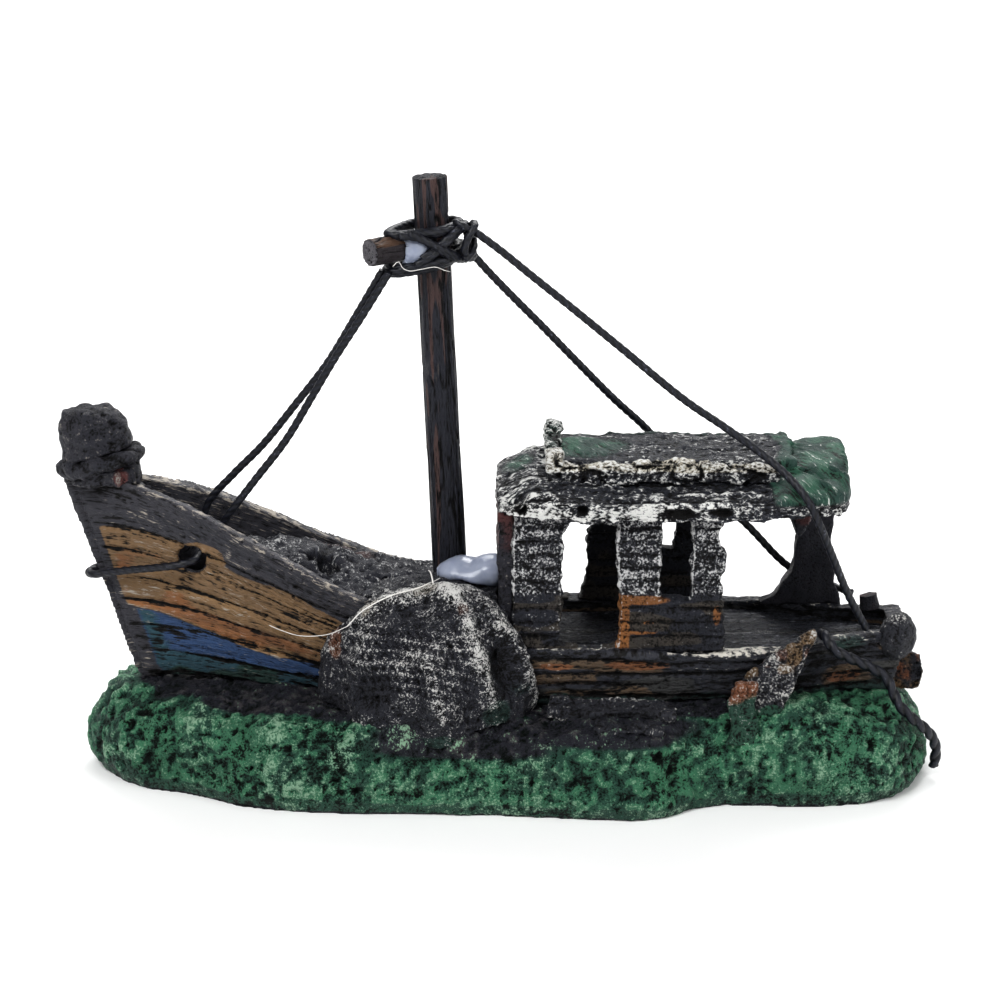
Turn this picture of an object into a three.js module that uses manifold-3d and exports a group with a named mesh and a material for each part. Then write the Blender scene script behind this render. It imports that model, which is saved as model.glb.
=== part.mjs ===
// A cast-resin fishing-boat wreck on a mossy rock, an aquarium ornament that lets air bubbles
// out of its hold. Millimetres, +Z up, +X towards the stern; the side that is shown faces -Y.
// Its origin is on the table, under the middle of its box.
import * as THREE from "three";
import { mergeVertices } from "three/addons/utils/BufferGeometryUtils.js";
import Module from "manifold-3d";

const wasm = await Module();
wasm.setup();

// ---------------------------------------------------------------- driving dimensions

const length = 164; // overall, and the rock's
const depth = 63; // of the rock, front to back
const gap = 0.3; // between pieces that touch

const rockTop = 16.5; // height of the rock where the hull sits
const rockSwell = 1.6; // how far its two ends rise above that

const beam = 34; // of the boat, outside the planks
const hullWall = 2; // of both hull castings
const bowHeight = 57.5; // gunwale at the stem
const waistHeight = 34; // gunwale where the bow half is broken off
const sternHeight = 27.2; // gunwale amidships in the stern half
const hullFoot = 13; // where the hulls would end inside the rock
const stemHalf = 1.1; // half the thickness of the stem
const deckThick = 2;
const deckTop = 25.7;

const roofUnder = 54; // underside of the cabin roof at its eaves
const roofThick = 3.2;
const roofCamber = 3; // how far its middle stands above its eaves, forward
const roofCamberAft = 5.6; // the same at its aft end
const roofHalf = 18; // half the roof, front to back
const wallThick = 2.4; // of the cabin walls
const cabinHalf = 15.6; // half the cabin, outside its walls
const platformHigh = 3; // of the raised middle of the roof
const coamingHigh = 3.9; // of its edge, over the roof
const coamingWide = 2.6;

const mastHeight = 113.5; // table to mast top
const mastDiameter = 6.3;
const mastFoot = 18.7; // where its socket in the rubble ends
const mastLean = 4.2; // how far its top is ahead of its foot
const pegDiameter = 5;
const pegReach = 14.2; // mast axis to the peg's outer end
const pegHeight = mastHeight - 12.3;
const cord = 1.5; // waxed rigging cord
const rope = 2.1; // twisted stern rope

const chamber = 21; // side of the air chamber under the rock
const chamberHigh = 11.5;
const outlet = 8; // bore that lets the bubbles into the hold
const hoseBore = 2.6;
const hoseOutside = 4.6; // soft air tube
const stoneDiameter = 10;
const stoneLong = 11;

// Places along the boat: -1 is the bow end, +1 the stern end. Across the rock: -1 is the front.
const along = (share) => (share * length) / 2;
const across = (share) => (share * depth) / 2;

const stemX = along(-0.984); // stem at the gunwale
const stemRake = 14.6; // how far the stem runs back from there to the hull's foot
const bowEndX = along(-0.11); // aft end of the bow half
const mastX = along(-0.097); // mast foot
const rubbleX = along(-0.6); // forward end of the rubble in the hold
const sternX = along(0.004); // forward end of the stern half
const transomX = along(0.945);
const cabinX = along(0.038); // forward end of the cabin's side walls
const cabinAftX = along(0.508);
const heapX = along(-0.145); // middle of the net heap
const chamberX = along(-0.4);

// ---------------------------------------------------------------- solids

// A closed geometry as a solid that can be cut and joined.
function solid(geometry) {
  const bare = geometry.clone();
  bare.deleteAttribute("normal");
  bare.deleteAttribute("uv");
  const merged = mergeVertices(bare, 1e-4);
  return new wasm.Manifold(new wasm.Mesh({
    numProp: 3,
    vertProperties: new Float32Array(merged.attributes.position.array),
    triVerts: new Uint32Array(merged.index.array),
  }));
}

// The way back: a solid's largest body as a geometry, without the crumbs a cut leaves.
function geometryOf(body) {
  const bodies = body.decompose();
  bodies.sort((a, b) => b.volume() - a.volume());
  const { numProp, vertProperties, triVerts } = bodies[0].getMesh();
  const geometry = new THREE.BufferGeometry();
  geometry.setAttribute("position", new THREE.BufferAttribute(vertProperties, numProp));
  geometry.setIndex(new THREE.BufferAttribute(triVerts, 1));
  return geometry;
}

// A skin through closed rings of equally many points, with a flat end on the first and the last.
function loft(rings) {
  const sides = rings[0].length;
  const points = rings.flat();
  const faces = [];
  for (let k = 0; k + 1 < rings.length; k += 1) {
    for (let i = 0; i < sides; i += 1) {
      const a = k * sides + i;
      const b = k * sides + ((i + 1) % sides);
      faces.push(a, b, b + sides, a, b + sides, a + sides);
    }
  }
  const last = (rings.length - 1) * sides;
  for (let i = 1; i + 1 < sides; i += 1) {
    faces.push(0, i + 1, i, last, last + i, last + i + 1);
  }
  const geometry = new THREE.BufferGeometry();
  geometry.setAttribute("position", new THREE.Float32BufferAttribute(points.flat(), 3));
  geometry.setIndex(faces);
  return solid(outward(geometry));
}

// The same geometry with its faces pointing out, whichever way round its rings ran.
function outward(geometry) {
  const p = geometry.attributes.position;
  const index = geometry.index.array;
  const [a, b, c] = [new THREE.Vector3(), new THREE.Vector3(), new THREE.Vector3()];
  let volume = 0;
  for (let i = 0; i < index.length; i += 3) {
    a.fromBufferAttribute(p, index[i]);
    b.fromBufferAttribute(p, index[i + 1]);
    c.fromBufferAttribute(p, index[i + 2]);
    volume += a.dot(b.cross(c));
  }
  return volume < 0 ? flipped(geometry) : geometry;
}

function flipped(geometry) {
  const index = Array.from(geometry.index.array);
  for (let i = 0; i < index.length; i += 3) {
    [index[i + 1], index[i + 2]] = [index[i + 2], index[i + 1]];
  }
  geometry.setIndex(index);
  return geometry;
}

// A box between two corners.
function box(low, high) {
  const size = high.map((value, i) => value - low[i]);
  const geometry = new THREE.BoxGeometry(...size);
  geometry.translate(...low.map((value, i) => value + size[i] / 2));
  return solid(geometry);
}

// A round bar between two points.
function bar(from, to, radius, sides = 16, endRadius = radius) {
  const start = new THREE.Vector3(...from);
  const run = new THREE.Vector3(...to).sub(start);
  const geometry = new THREE.CylinderGeometry(endRadius, radius, run.length(), sides);
  geometry.translate(0, run.length() / 2, 0);
  geometry.applyQuaternion(
    new THREE.Quaternion().setFromUnitVectors(new THREE.Vector3(0, 1, 0), run.normalize()),
  );
  geometry.translate(...from);
  return solid(geometry);
}

// A lump with half axes, turned about Y and then Z.
function lump(centre, halves, turnY = 0, turnZ = 0, detail = [16, 10]) {
  const geometry = new THREE.SphereGeometry(1, ...detail);
  geometry.rotateX(Math.PI / 2);
  geometry.scale(...halves);
  geometry.rotateY(turnY);
  geometry.rotateZ(turnZ);
  geometry.translate(...centre);
  return solid(geometry);
}

// A plan outline as an upright prism, or an elevation outline as a wall of some thickness.
function prism(outline, low, high) {
  const shape = new THREE.Shape(outline.map(([x, y]) => new THREE.Vector2(x, y)));
  const geometry = new THREE.ExtrudeGeometry(shape, { depth: high - low, bevelEnabled: false });
  geometry.translate(0, 0, low);
  return solid(geometry);
}

function wallAcross(outline, low, high) {
  return prism(outline, -high, -low).rotate([90, 0, 0]);
}

function wallAlong(outline, low, high) {
  return prism(outline, low, high).rotate([90, 0, 90]);
}

// A cord's tube through chosen points. Its step is about three diameters.
function cordTube(points, diameter) {
  const path = new THREE.CatmullRomCurve3(points.map((p) => new THREE.Vector3(...p)));
  const section = new THREE.Shape();
  const sides = 8;
  for (let i = 0; i < sides; i += 1) {
    const angle = (2 * Math.PI * i) / sides;
    const [x, y] = [(Math.cos(angle) * diameter) / 2, (Math.sin(angle) * diameter) / 2];
    if (i === 0) section.moveTo(x, y);
    else section.lineTo(x, y);
  }
  const steps = Math.round(path.getLength() / (3 * diameter));
  return new THREE.ExtrudeGeometry(section, { steps, bevelEnabled: false, extrudePath: path });
}

const smooth = (share) => {
  const s = Math.min(1, Math.max(0, share));
  return s * s * (3 - 2 * s);
};

// ---------------------------------------------------------------- the rock

// Seen from above: two lobes at the front with a cleft between them, lumpy all round.
const rockOutline = [
  [-0.95, 0], [-0.91, -0.27], [-0.825, -0.49], [-0.7, -0.6], [-0.58, -0.79], [-0.37, -0.89],
  [-0.06, -0.91], [0.17, -0.97], [0.31, -1], [0.405, -0.93], [0.46, -0.79], [0.54, -0.76],
  [0.71, -0.79], [0.86, -0.73], [0.95, -0.54], [0.993, -0.26], [0.999, 0.02], [0.975, 0.33],
  [0.9, 0.6], [0.74, 0.8], [0.52, 0.83], [0.34, 0.95], [0.1, 1], [-0.17, 0.95],
  [-0.42, 0.89], [-0.62, 0.79], [-0.77, 0.6], [-0.91, 0.32],
];
// Up its side and over its shoulder: share of the outline, share of the height.
const rockProfile = [
  [0.978, 0], [1, 0.15], [1, 0.38], [0.985, 0.6], [0.955, 0.78], [0.9, 0.9], [0.8, 0.97], [0.5, 1],
];

function rock(grow) {
  const edge = new THREE.CatmullRomCurve3(
    rockOutline.map(([x, y]) => new THREE.Vector3(along(x), across(y), 0)),
    true,
    "catmullrom",
    0.5,
  ).getSpacedPoints(56);
  edge.pop();
  const rings = rockProfile.map(([share, level]) => edge.map((point) => {
    const out = new THREE.Vector2(point.x, point.y);
    const reach = out.length() + grow;
    out.setLength(reach).multiplyScalar(share);
    const swell = rockSwell * Math.sin((Math.PI * out.x) / (0.68 * length)) ** 2;
    return [out.x, out.y, level * (rockTop + swell) + (level === 0 ? 0 : grow)];
  }));
  return loft(rings);
}

// Under the rock: a chamber for the air stone, a groove for its tube, and the way up.
const stoneY = across(-0.1);
const grooveWide = hoseOutside + 2;
const nippleY = across(0.93);

function rockBase() {
  const half = chamber / 2;
  const room = box(
    [chamberX - half, stoneY - half, -1],
    [chamberX + half, stoneY + half, chamberHigh],
  );
  const groove = box(
    [chamberX - grooveWide / 2, 0, -1],
    [chamberX + grooveWide / 2, across(1.2), grooveWide],
  );
  const way = bar([chamberX, stoneY, 0], [chamberX, stoneY, rockTop * 2], outlet / 2, 20);
  return rock(0).subtract(room).subtract(groove).subtract(way);
}

// ---------------------------------------------------------------- the hulls

// The bow half: height of the gunwale, half breadth and place at a share of its length.
const bowSheer = (u) => waistHeight + (bowHeight - waistHeight) * (1 - smooth(u ** 1.1));

function bowRing(u, inset, topExtra) {
  const levels = [1, 0.84, 0.66, 0.46, 0.25, 0];
  const fullness = 1 - Math.exp(-((u / 0.46) ** 1.7));
  const sheer = bowSheer(u);
  const keel = 0.3 + 0.42 * u;
  const side = levels.map((t) => {
    const stem = stemX + stemRake * (1 - t ** 0.9);
    const share = keel + (1 - keel) * t ** 0.75;
    const breadth = stemHalf + (beam / 2 - stemHalf) * fullness * share - inset;
    const top = t === 1 ? topExtra : 0;
    const x = stem + (bowEndX - stem) * u;
    return [x, Math.max(0.45, breadth), hullFoot + t * (sheer - hullFoot) + top];
  });
  const front = side.map(([x, y, z]) => [x, -y, z]);
  return [...front, ...side.reverse()];
}

function bowLoft(fromU, inset, topExtra) {
  const steps = 15;
  const toU = 1.2; // the loft runs on past the break, which cuts it
  const rings = [];
  for (let i = 0; i <= steps; i += 1) {
    rings.push(bowRing(fromU + ((toU - fromU) * i) / steps, inset, topExtra));
  }
  for (const point of rings[0]) point[0] += Math.min(0, inset);
  return loft(rings);
}

// Everything aft of the slanting break, which runs further forward on the front side.
function pastBreak(shift) {
  const slant = 0.45;
  const size = 200;
  const cut = new THREE.BoxGeometry(size, size, size);
  cut.translate(size / 2 + shift, 0, 0);
  cut.rotateZ(-slant);
  cut.translate(bowEndX - (beam / 2) * Math.tan(slant), 0, 0);
  return solid(cut);
}

const bowBody = (grow) => bowLoft(0, -grow, grow).subtract(pastBreak(grow));
const hawseX = along(-0.69);
const hawseZ = 42.4;
const hawseDiameter = 6.4;

function bowHull() {
  const hold = bowLoft(0.17, hullWall, 20);
  const hawse = bar([hawseX, -beam, hawseZ], [hawseX, beam, hawseZ], hawseDiameter / 2, 12);
  return bowBody(0).subtract(hold).subtract(hawse).subtract(rock(gap));
}

// The stern half: it narrows to a raked transom.
const sternBreadth = (x) => beam / 2 - 0.28 * beam * smooth((x - along(0.5)) / along(0.46));

function sternRing(share, grow) {
  const levels = [1, 0.75, 0.45, 0];
  const x = sternX + share * (transomX - sternX);
  const sheer = sternHeight + 1.3 * (2 * share - 0.9) ** 2;
  const side = levels.map((t) => {
    const tuck = 0.84 - 0.3 * share ** 3;
    const breadth = sternBreadth(x) * (tuck + (1 - tuck) * t ** 0.6) + grow;
    const rake = share === 1 ? 4 * (1 - t) : 0;
    return [x - rake, breadth, hullFoot + t * (sheer - hullFoot) + grow * t];
  });
  const front = side.map(([px, y, z]) => [px, -y, z]);
  return [...front, ...side.reverse()];
}

function sternBody(grow) {
  const steps = 14;
  const rings = [];
  for (let i = 0; i <= steps; i += 1) rings.push(sternRing(i / steps, grow));
  for (const point of rings[0]) point[0] -= grow;
  for (const point of rings[steps]) point[0] += grow;
  return loft(rings);
}

// Seen from above, the well that the deck lies in: narrower where the cabin walls stand.
function wellOutline(shrink) {
  const from = sternX + 5 + shrink;
  const to = transomX - 3.4 - shrink;
  const xs = [from, cabinAftX + shrink, cabinAftX + 1.5 + shrink];
  const wideX = xs[2];
  for (let i = 1; i <= 8; i += 1) xs.push(wideX + ((to - wideX) * i) / 8);
  const half = xs.map((x, i) => (
    i < 2 ? cabinHalf - wallThick - gap : sternBreadth(x) - hullWall - 0.6
  ) - shrink);
  const front = xs.map((x, i) => [x, -half[i]]);
  return [...front, ...xs.map((x, i) => [x, half[i]]).reverse()];
}

function sternHull() {
  const well = prism(wellOutline(0), deckTop - deckThick - gap, roofUnder);
  return sternBody(0).subtract(well).subtract(rock(gap));
}

function sternDeck() {
  let deck = prism(wellOutline(gap), deckTop - deckThick, deckTop);
  const seams = 5;
  for (let i = 1; i < seams; i += 1) {
    const y = -beam / 2 + (beam * i) / seams;
    const seam = box([cabinAftX + 3, y - 0.25, deckTop - 0.5], [transomX - 9, y + 0.25, deckTop + 1]);
    deck = deck.subtract(seam);
  }
  return deck;
}

// ---------------------------------------------------------------- the stem head

const headHalf = 6.7; // half its length along the boat
const headWide = 4.6; // half its width
const headTopZ = 70;

function headBody() {
  const sides = 14;
  const middle = stemX + headHalf - 0.4;
  // Share of its plan, height, and how far it leans ahead.
  const stages = [
    [1.04, 0, -0.9], [1.03, 0.3, -0.3], [0.99, 0.6, 0.2], [0.9, 0.82, 0.7], [0.74, 0.95, 1.1],
    [0.45, 1, 1.2],
  ];
  const foot = bowHeight - 1.5;
  return loft(stages.map(([share, level, lean]) => {
    const ring = [];
    for (let i = 0; i < sides; i += 1) {
      const angle = (2 * Math.PI * i) / sides;
      const corner = 0.9 + 0.1 * Math.cos(2 * angle) ** 2;
      ring.push([
        middle - lean + (headHalf * share * Math.cos(angle)) / corner,
        (headWide * share * Math.sin(angle)) / corner,
        foot + level * (headTopZ - foot),
      ]);
    }
    return ring;
  }));
}

// The moulded rope round its neck, higher at the back than at the stem.
function neckRope(radius) {
  const ring = new THREE.TorusGeometry(1, 0.2, 10, 24);
  const place = ring.attributes.position;
  for (let i = 0; i < place.count; i += 1) {
    const [x, y, z] = [place.getX(i), place.getY(i), place.getZ(i)];
    const round = Math.hypot(x, y);
    const out = (round - 1) / 0.2;
    const [a, b] = [headHalf + 0.2 + out * radius, headWide + 0.2 + out * radius];
    place.setXYZ(i, (x / round) * a, (y / round) * b, (z / 0.2) * radius);
  }
  ring.rotateY(-0.25);
  ring.translate(stemX + headHalf + 0.1, 0, bowHeight + 2.4);
  return solid(ring);
}

const neckRadius = 1.5;
const stemHead = () => headBody().subtract(neckRope(neckRadius + gap)).subtract(bowBody(gap));
const stemLashing = () => neckRope(neckRadius).subtract(bowBody(gap));

// ---------------------------------------------------------------- net heap and rubble

// A fishing net thrown over the broken middle of the hull: a lump with hanging folds.
const heapY = across(-0.27);
const heapTop = 39.3;
const heapProfile = [
  [1.03, 1, -0.1], [1, 1, 0.06], [0.965, 0.95, 0.35], [0.89, 0.82, 0.62], [0.76, 0.66, 0.8],
  [0.55, 0.47, 0.92], [0.25, 0.2, 0.99],
];

function heap(grow) {
  const sides = 36;
  const [reachX, reachY] = [along(0.262), across(0.63)];
  const foot = rockTop - 1;
  return loft(heapProfile.map(([shareX, shareY, level]) => {
    const ring = [];
    for (let i = 0; i < sides; i += 1) {
      const angle = (2 * Math.PI * i) / sides;
      const fold = 1 + 0.055 * (1 - level * 0.5) * Math.cos(9 * angle + 0.8);
      ring.push([
        heapX + (reachX * shareX * fold + grow) * Math.cos(angle),
        heapY + (reachY * shareY * fold + grow) * Math.sin(angle),
        foot + level * (heapTop - foot) + grow * Math.max(0, level),
      ]);
    }
    return ring;
  }));
}

const heapBack = -mastDiameter / 2 - 0.9; // the heap ends here, just in front of the mast

function heapSide(shift) {
  return box([-length, heapBack + shift, -1], [length, depth, mastHeight]);
}

function netHeap() {
  return heap(0).subtract(heapSide(0)).subtract(rock(gap)).subtract(bowBody(gap))
    .subtract(sternBody(gap)).subtract(cabinWallSpace());
}

// Broken timber and silt that fills the hold up to the mast's foot.
const rubbleHeights = [[0, 43.5], [0.16, 43], [0.34, 40.6], [0.55, 38.4], [0.8, 37.4], [1, 35.5]];

function rubble() {
  const aftX = cabinX - wallThick - 2 * gap;
  const half = beam / 2;
  const rings = rubbleHeights.map(([share, height]) => {
    const x = rubbleX + share * (aftX - rubbleX);
    const crest = [
      [-half, height - 1.8], [-half * 0.45, height - 0.3], [0, height], [half * 0.4, height - 0.9],
      [half, height - 3.4],
    ];
    return [[-half, hullFoot], ...crest, [half, hullFoot]].map(([y, z]) => [x, y, z]);
  });
  return loft(rings).intersect(bowLoft(0.17, hullWall + gap, 20));
}

function holdRubble() {
  const chimney = bar([chamberX, stoneY, 0], [chamberX, stoneY, 60], outlet / 2, 20);
  return rubble().subtract(rock(gap)).subtract(heap(gap).subtract(heapSide(gap)))
    .subtract(mastBar(mastDiameter / 2 + gap)).subtract(sternBody(gap)).subtract(chimney);
}

// ---------------------------------------------------------------- the cabin

const roofX = [along(0.004), along(0.778)]; // its two ends
const platformX = [along(0.115), along(0.63)];
const platformY = [-roofHalf * 0.62, roofHalf * 0.66];
const platformAt = (x) => smooth((x - platformX[1]) / (roofX[1] - platformX[1]) + 0.3);
const camberAt = (x) => roofCamber + (roofCamberAft - roofCamber) * platformAt(x);
const bow = (y) => 1 - (y / roofHalf) ** 2; // the roof's curve, from front to back
const over = (x, y) => roofUnder + roofThick + camberAt(x) * bow(y);

function roofSlab(grow) {
  const cuts = [-1, -0.8, -0.5, -0.2, 0.2, 0.5, 0.8, 1];
  // Share of its length, and of its width there.
  const stages = [
    [0, 0.78], [0.03, 0.92], [0.1, 1], [0.25, 1], [0.5, 1], [0.65, 1], [0.78, 1], [0.9, 0.98],
    [0.97, 0.92], [1, 0.8],
  ];
  return loft(stages.map(([share, width]) => {
    const narrow = width * (1 + grow / roofHalf);
    const x = roofX[0] + share * (roofX[1] - roofX[0]);
    const push = grow * Math.sign(share - 0.5) * Math.abs(2 * share - 1);
    const sag = -0.9 * Math.sin(Math.PI * share);
    const below = cuts.map((cut) => [cut, roofUnder + (roofCamber - 1) * bow(cut * roofHalf) - grow]);
    const above = cuts.map((cut) => [cut, over(x, cut * roofHalf) + grow]).reverse();
    // It starts at the top, where the flat end's triangles can all meet.
    const ring = [...above.slice(4), ...below, ...above.slice(0, 4)];
    return ring.map(([cut, z]) => [x + push, cut * roofHalf * narrow, z + sag]);
  }));
}

function cabinRoof() {
  const [low, high] = [roofUnder + roofThick, over(platformX[0], 0) + platformHigh - 1];
  const edge = coamingWide + gap;
  const platform = wallAlong([
    [platformY[0] + edge, low], [platformY[1], low], [platformY[1], high - 0.8],
    [platformY[1] * 0.4, high], [platformY[0] + edge, high - 0.3],
  ], platformX[0] + edge, platformX[1] + 3);
  return roofSlab(0).add(platform);
}

// The raised edge along the platform's forward end and front side, in one L.
function roofCoaming() {
  const [x0, x1] = platformX;
  const [y0, y1] = platformY;
  const top = over(x0, 0) + coamingHigh - 1;
  const run = wallAcross([
    [x0, roofUnder], [x1, roofUnder], [x1, top - 1.6], [x0 + 0.72 * (x1 - x0), top - 1.4],
    [x0 + 0.7 * (x1 - x0), top - 0.6], [x0 + 0.4 * (x1 - x0), top - 0.7],
    [x0 + 0.36 * (x1 - x0), top - 1.5], [x0 + coamingWide, top - 1.1], [x0, top + 0.3],
  ], y0, y0 + coamingWide);
  const end = wallAlong([
    [y0, roofUnder], [y1, roofUnder], [y1, top + 1.2], [y1 * 0.5, top + 0.9], [y0, top + 0.3],
  ], x0, x0 + coamingWide);
  return run.add(end).subtract(roofSlab(gap));
}

// Cabin walls stand on the stern hull and stop under the roof.
const between = (wall) => wall.subtract(sternBody(gap)).subtract(roofSlab(gap)).subtract(rock(gap));
const wallFoot = sternHeight - 4;
const wallHead = roofUnder + 2.2; // inside the roof slab, which cuts the walls' tops
const upWall = (share) => sternHeight + share * (roofUnder - sternHeight);

const doorX = [along(0.143), along(0.277)];
const doorZ = [sternHeight + 1.3, roofUnder - 2];
const windowX = [along(0.365), along(0.436)];
const windowZ = [upWall(0.373), roofUnder - 1];

function cabinWallSpace() {
  return box(
    [cabinX - wallThick - 2 * gap, -cabinHalf - gap, wallFoot],
    [cabinAftX, cabinHalf + gap, wallHead],
  );
}

function nearCabinWall() {
  const aft = cabinAftX - 0.6;
  const whole = wallAcross([
    [cabinX, wallFoot], [cabinAftX, wallFoot], [cabinAftX, upWall(0.317)], [aft, upWall(0.522)],
    [cabinAftX + 0.3, upWall(0.701)], [aft - 0.7, upWall(0.851)], [cabinAftX + 1, wallHead],
    [cabinX, wallHead],
  ], -cabinHalf, -cabinHalf + wallThick);
  const door = wallAcross([
    [doorX[0] - 0.6, doorZ[0] + 0.4], [doorX[0] + 5, doorZ[0] - 0.9], [doorX[1], doorZ[0]],
    [doorX[1] + 0.3, upWall(0.384)], [doorX[1] - 0.5, upWall(0.739)], [doorX[1] - 0.2, doorZ[1]],
    [doorX[0] + 2, doorZ[1] + 0.5], [doorX[0] + 0.5, doorZ[1] - 1.5], [doorX[0], upWall(0.422)],
  ], -cabinHalf - 1, cabinHalf - wallThick - 1);
  const window = wallAcross([
    [windowX[0], windowZ[0]], [windowX[1], windowZ[0] + 0.3], [windowX[1] + 0.4, upWall(0.739)],
    [windowX[1] - 0.3, windowZ[1]], [windowX[0] + 0.2, windowZ[1]],
  ], -cabinHalf - 1, -cabinHalf + wallThick + 1);
  return between(whole.subtract(door).subtract(window));
}

function farCabinWall() {
  const [low, high] = [cabinHalf - wallThick, cabinHalf];
  const whole = wallAcross([
    [cabinX, wallFoot], [cabinAftX + 1, wallFoot], [cabinAftX - 1, upWall(0.485)],
    [cabinAftX, wallHead], [cabinX, wallHead],
  ], low, high);
  const opening = wallAcross([
    [cabinX + 4.5, doorZ[0]], [doorX[1] - 6.5, doorZ[0] - 0.7], [doorX[1] - 4.6, upWall(0.272)],
    [doorX[1] - 5.3, upWall(0.459)], [doorX[1] - 3.4, upWall(0.701)], [doorX[1] - 3.6, doorZ[1] - 3],
    [cabinX + 4, doorZ[1] - 3],
  ], low - 1, high + 1);
  const window = wallAcross([
    [windowX[0] - 1, windowZ[0] + 2], [windowX[1] - 1.6, windowZ[0] + 1],
    [windowX[1] + 0.2, upWall(0.701)], [windowX[0] - 1, upWall(0.739)],
  ], low - 1, high + 1);
  return between(whole.subtract(opening).subtract(window));
}

function frontCabinWall() {
  const half = cabinHalf - 1;
  const whole = wallAlong([
    [-half, wallFoot], [half, wallFoot], [half, wallHead], [-half, wallHead],
  ], cabinX - wallThick - gap, cabinX - gap);
  const light = wallAlong([
    [-6, upWall(0.384)], [5.5, upWall(0.358)], [6.4, upWall(0.813)], [-5.4, upWall(0.843)],
  ], cabinX - wallThick - 2, cabinX + 2);
  return between(whole.subtract(light));
}

// What is left of the far wall's aft end: a post with a spreading foot.
const postX = [along(0.705), along(0.79)];

function rearCabinPost() {
  const whole = wallAcross([
    [postX[0] - 7, wallFoot], [postX[1] + 1.5, wallFoot], [postX[1] + 1.4, sternHeight + 1.6],
    [postX[1] + 0.2, upWall(0.187)], [postX[1] - 0.6, upWall(0.552)], [postX[1] + 0.3, wallHead],
    [postX[0], wallHead], [postX[0] + 0.4, upWall(0.59)], [postX[0] - 1, upWall(0.261)],
    [postX[0] - 4, sternHeight + 2.4], [postX[0] - 7, sternHeight + 1],
  ], postY - 3, postY);
  return between(whole);
}

const postY = sternBreadth(postX[0]) + 0.4; // its outer face, flush with the planks

function roofShard() {
  return wallAcross([
    [postX[0] - 4.6, wallHead], [postX[0] + 0.6, wallHead], [postX[0] + 0.2, roofUnder - 3.4],
    [postX[0] - 1.8, roofUnder - 6.2], [postX[0] - 3.4, roofUnder - 2.6],
  ], -9, -6.8).subtract(roofSlab(gap));
}

// ---------------------------------------------------------------- loose timber

// A flat plank from its low end to its high end, with its face turned to the front.
function plank(from, to, wide, thick, roll) {
  const run = new THREE.Vector3(...to).sub(new THREE.Vector3(...from));
  const geometry = new THREE.BoxGeometry(run.length(), wide, thick, 6, 1, 1);
  const place = geometry.attributes.position;
  for (let i = 0; i < place.count; i += 1) {
    const share = place.getX(i) / run.length();
    place.setY(i, place.getY(i) * (1 - 0.3 * share) + 0.5 * Math.sin(9 * share));
  }
  geometry.rotateX(roll);
  const turn = new THREE.Quaternion();
  turn.setFromUnitVectors(new THREE.Vector3(1, 0, 0), run.clone().normalize());
  geometry.applyQuaternion(turn);
  const middle = new THREE.Vector3(...from).addScaledVector(run, 0.5);
  geometry.translate(middle.x, middle.y, middle.z);
  return solid(geometry);
}

const besideHull = (piece) => piece.subtract(sternBody(gap)).subtract(rock(gap));

// A broken board that leans on the gunwale: its face outline, sideways and up along the board.
const boardOutline = [
  [0, -1], [-3.4, 4], [-4.6, 9.6], [-3.6, 11.2], [2.6, 15.4], [8.6, 19.2], [8.8, 18], [7.4, 14.4],
  [5.6, 10.6], [3.4, 6],
];
const boardFoot = [along(0.61), across(-0.686), rockTop - 3];

function board(grow) {
  const flat = wallAcross(boardOutline, -1.1 - grow, 1.1 + grow);
  return flat.rotate([-21, 0, 0]).translate(boardFoot);
}

const leaningPlank = () => besideHull(board(0));

const plankStub = () => besideHull(
  plank([along(0.548), across(-0.737), 12], [along(0.556), across(-0.66), 23.4], 4.6, 2.8, 1.5),
).subtract(board(gap));

const fallenPlanks = [
  [[along(0.12), -20.4, rockTop + 1.6], [along(0.4), -21.3, rockTop + 1.2], 4.4, 1.8, 0.25],
  [[along(0.22), -26, rockTop - 0.4], [along(0.37), -26.8, rockTop - 0.6], 2.6, 1.5, 0.3],
];

const fallenPlank = (i) => besideHull(plank(...fallenPlanks[i])).subtract(heap(gap));

// ---------------------------------------------------------------- the stern's fittings

const quarterX = transomX - 2.2;

const nearQuarterBlock = () => lump(
  [quarterX, -sternBreadth(quarterX) + 0.9, sternHeight + 0.2], [3.7, 2.9, 4.6], 0.18, 0.3,
).subtract(sternBody(gap)).subtract(rock(gap));

const farBitt = () => bar(
  [quarterX - 3.4, 5.2, deckTop + gap], [quarterX - 4.2, 5.8, sternHeight + 4.4], 2.4, 12, 1.9,
).subtract(sternBody(gap));

function rudder() {
  return wallAcross([
    [transomX - 4, rockTop - 2], [transomX + 3.2, rockTop - 1.4], [transomX + 4, rockTop + 2],
    [transomX + 3, rockTop + 5.4], [transomX - 2, rockTop + 8.6],
  ], -3, -1.2).subtract(sternBody(gap)).subtract(rock(gap));
}

// ---------------------------------------------------------------- mast and yard

const mastTopX = mastX - mastLean;
const mastAt = (z) => mastX + ((mastTopX - mastX) * (z - mastFoot)) / (mastHeight - mastFoot);

function mastBar(radius) {
  return bar([mastX, 0, mastFoot - (radius - mastDiameter / 2)], [mastTopX, 0, mastHeight], radius, 20);
}

// The yard is a bamboo peg that points ahead and to the front.
const pegAim = [-Math.sin(0.906), -Math.cos(0.906)];
const pegPoint = (reach) => [
  mastAt(pegHeight) + pegAim[0] * reach,
  pegAim[1] * reach,
  pegHeight,
];

const pegBar = (radius) => bar(pegPoint(0), pegPoint(pegReach), radius, 16);
const yardPeg = () => pegBar(pegDiameter / 2).subtract(mastBar(mastDiameter / 2 + gap));

// Two bands of wound cord hold the peg to the mast, one above and one below it.
const bandRound = [mastDiameter / 2 + 4.4, mastDiameter / 2 + 2.1]; // half axes of the winding
const bandShift = 2; // its middle is off the mast axis, towards the peg

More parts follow.
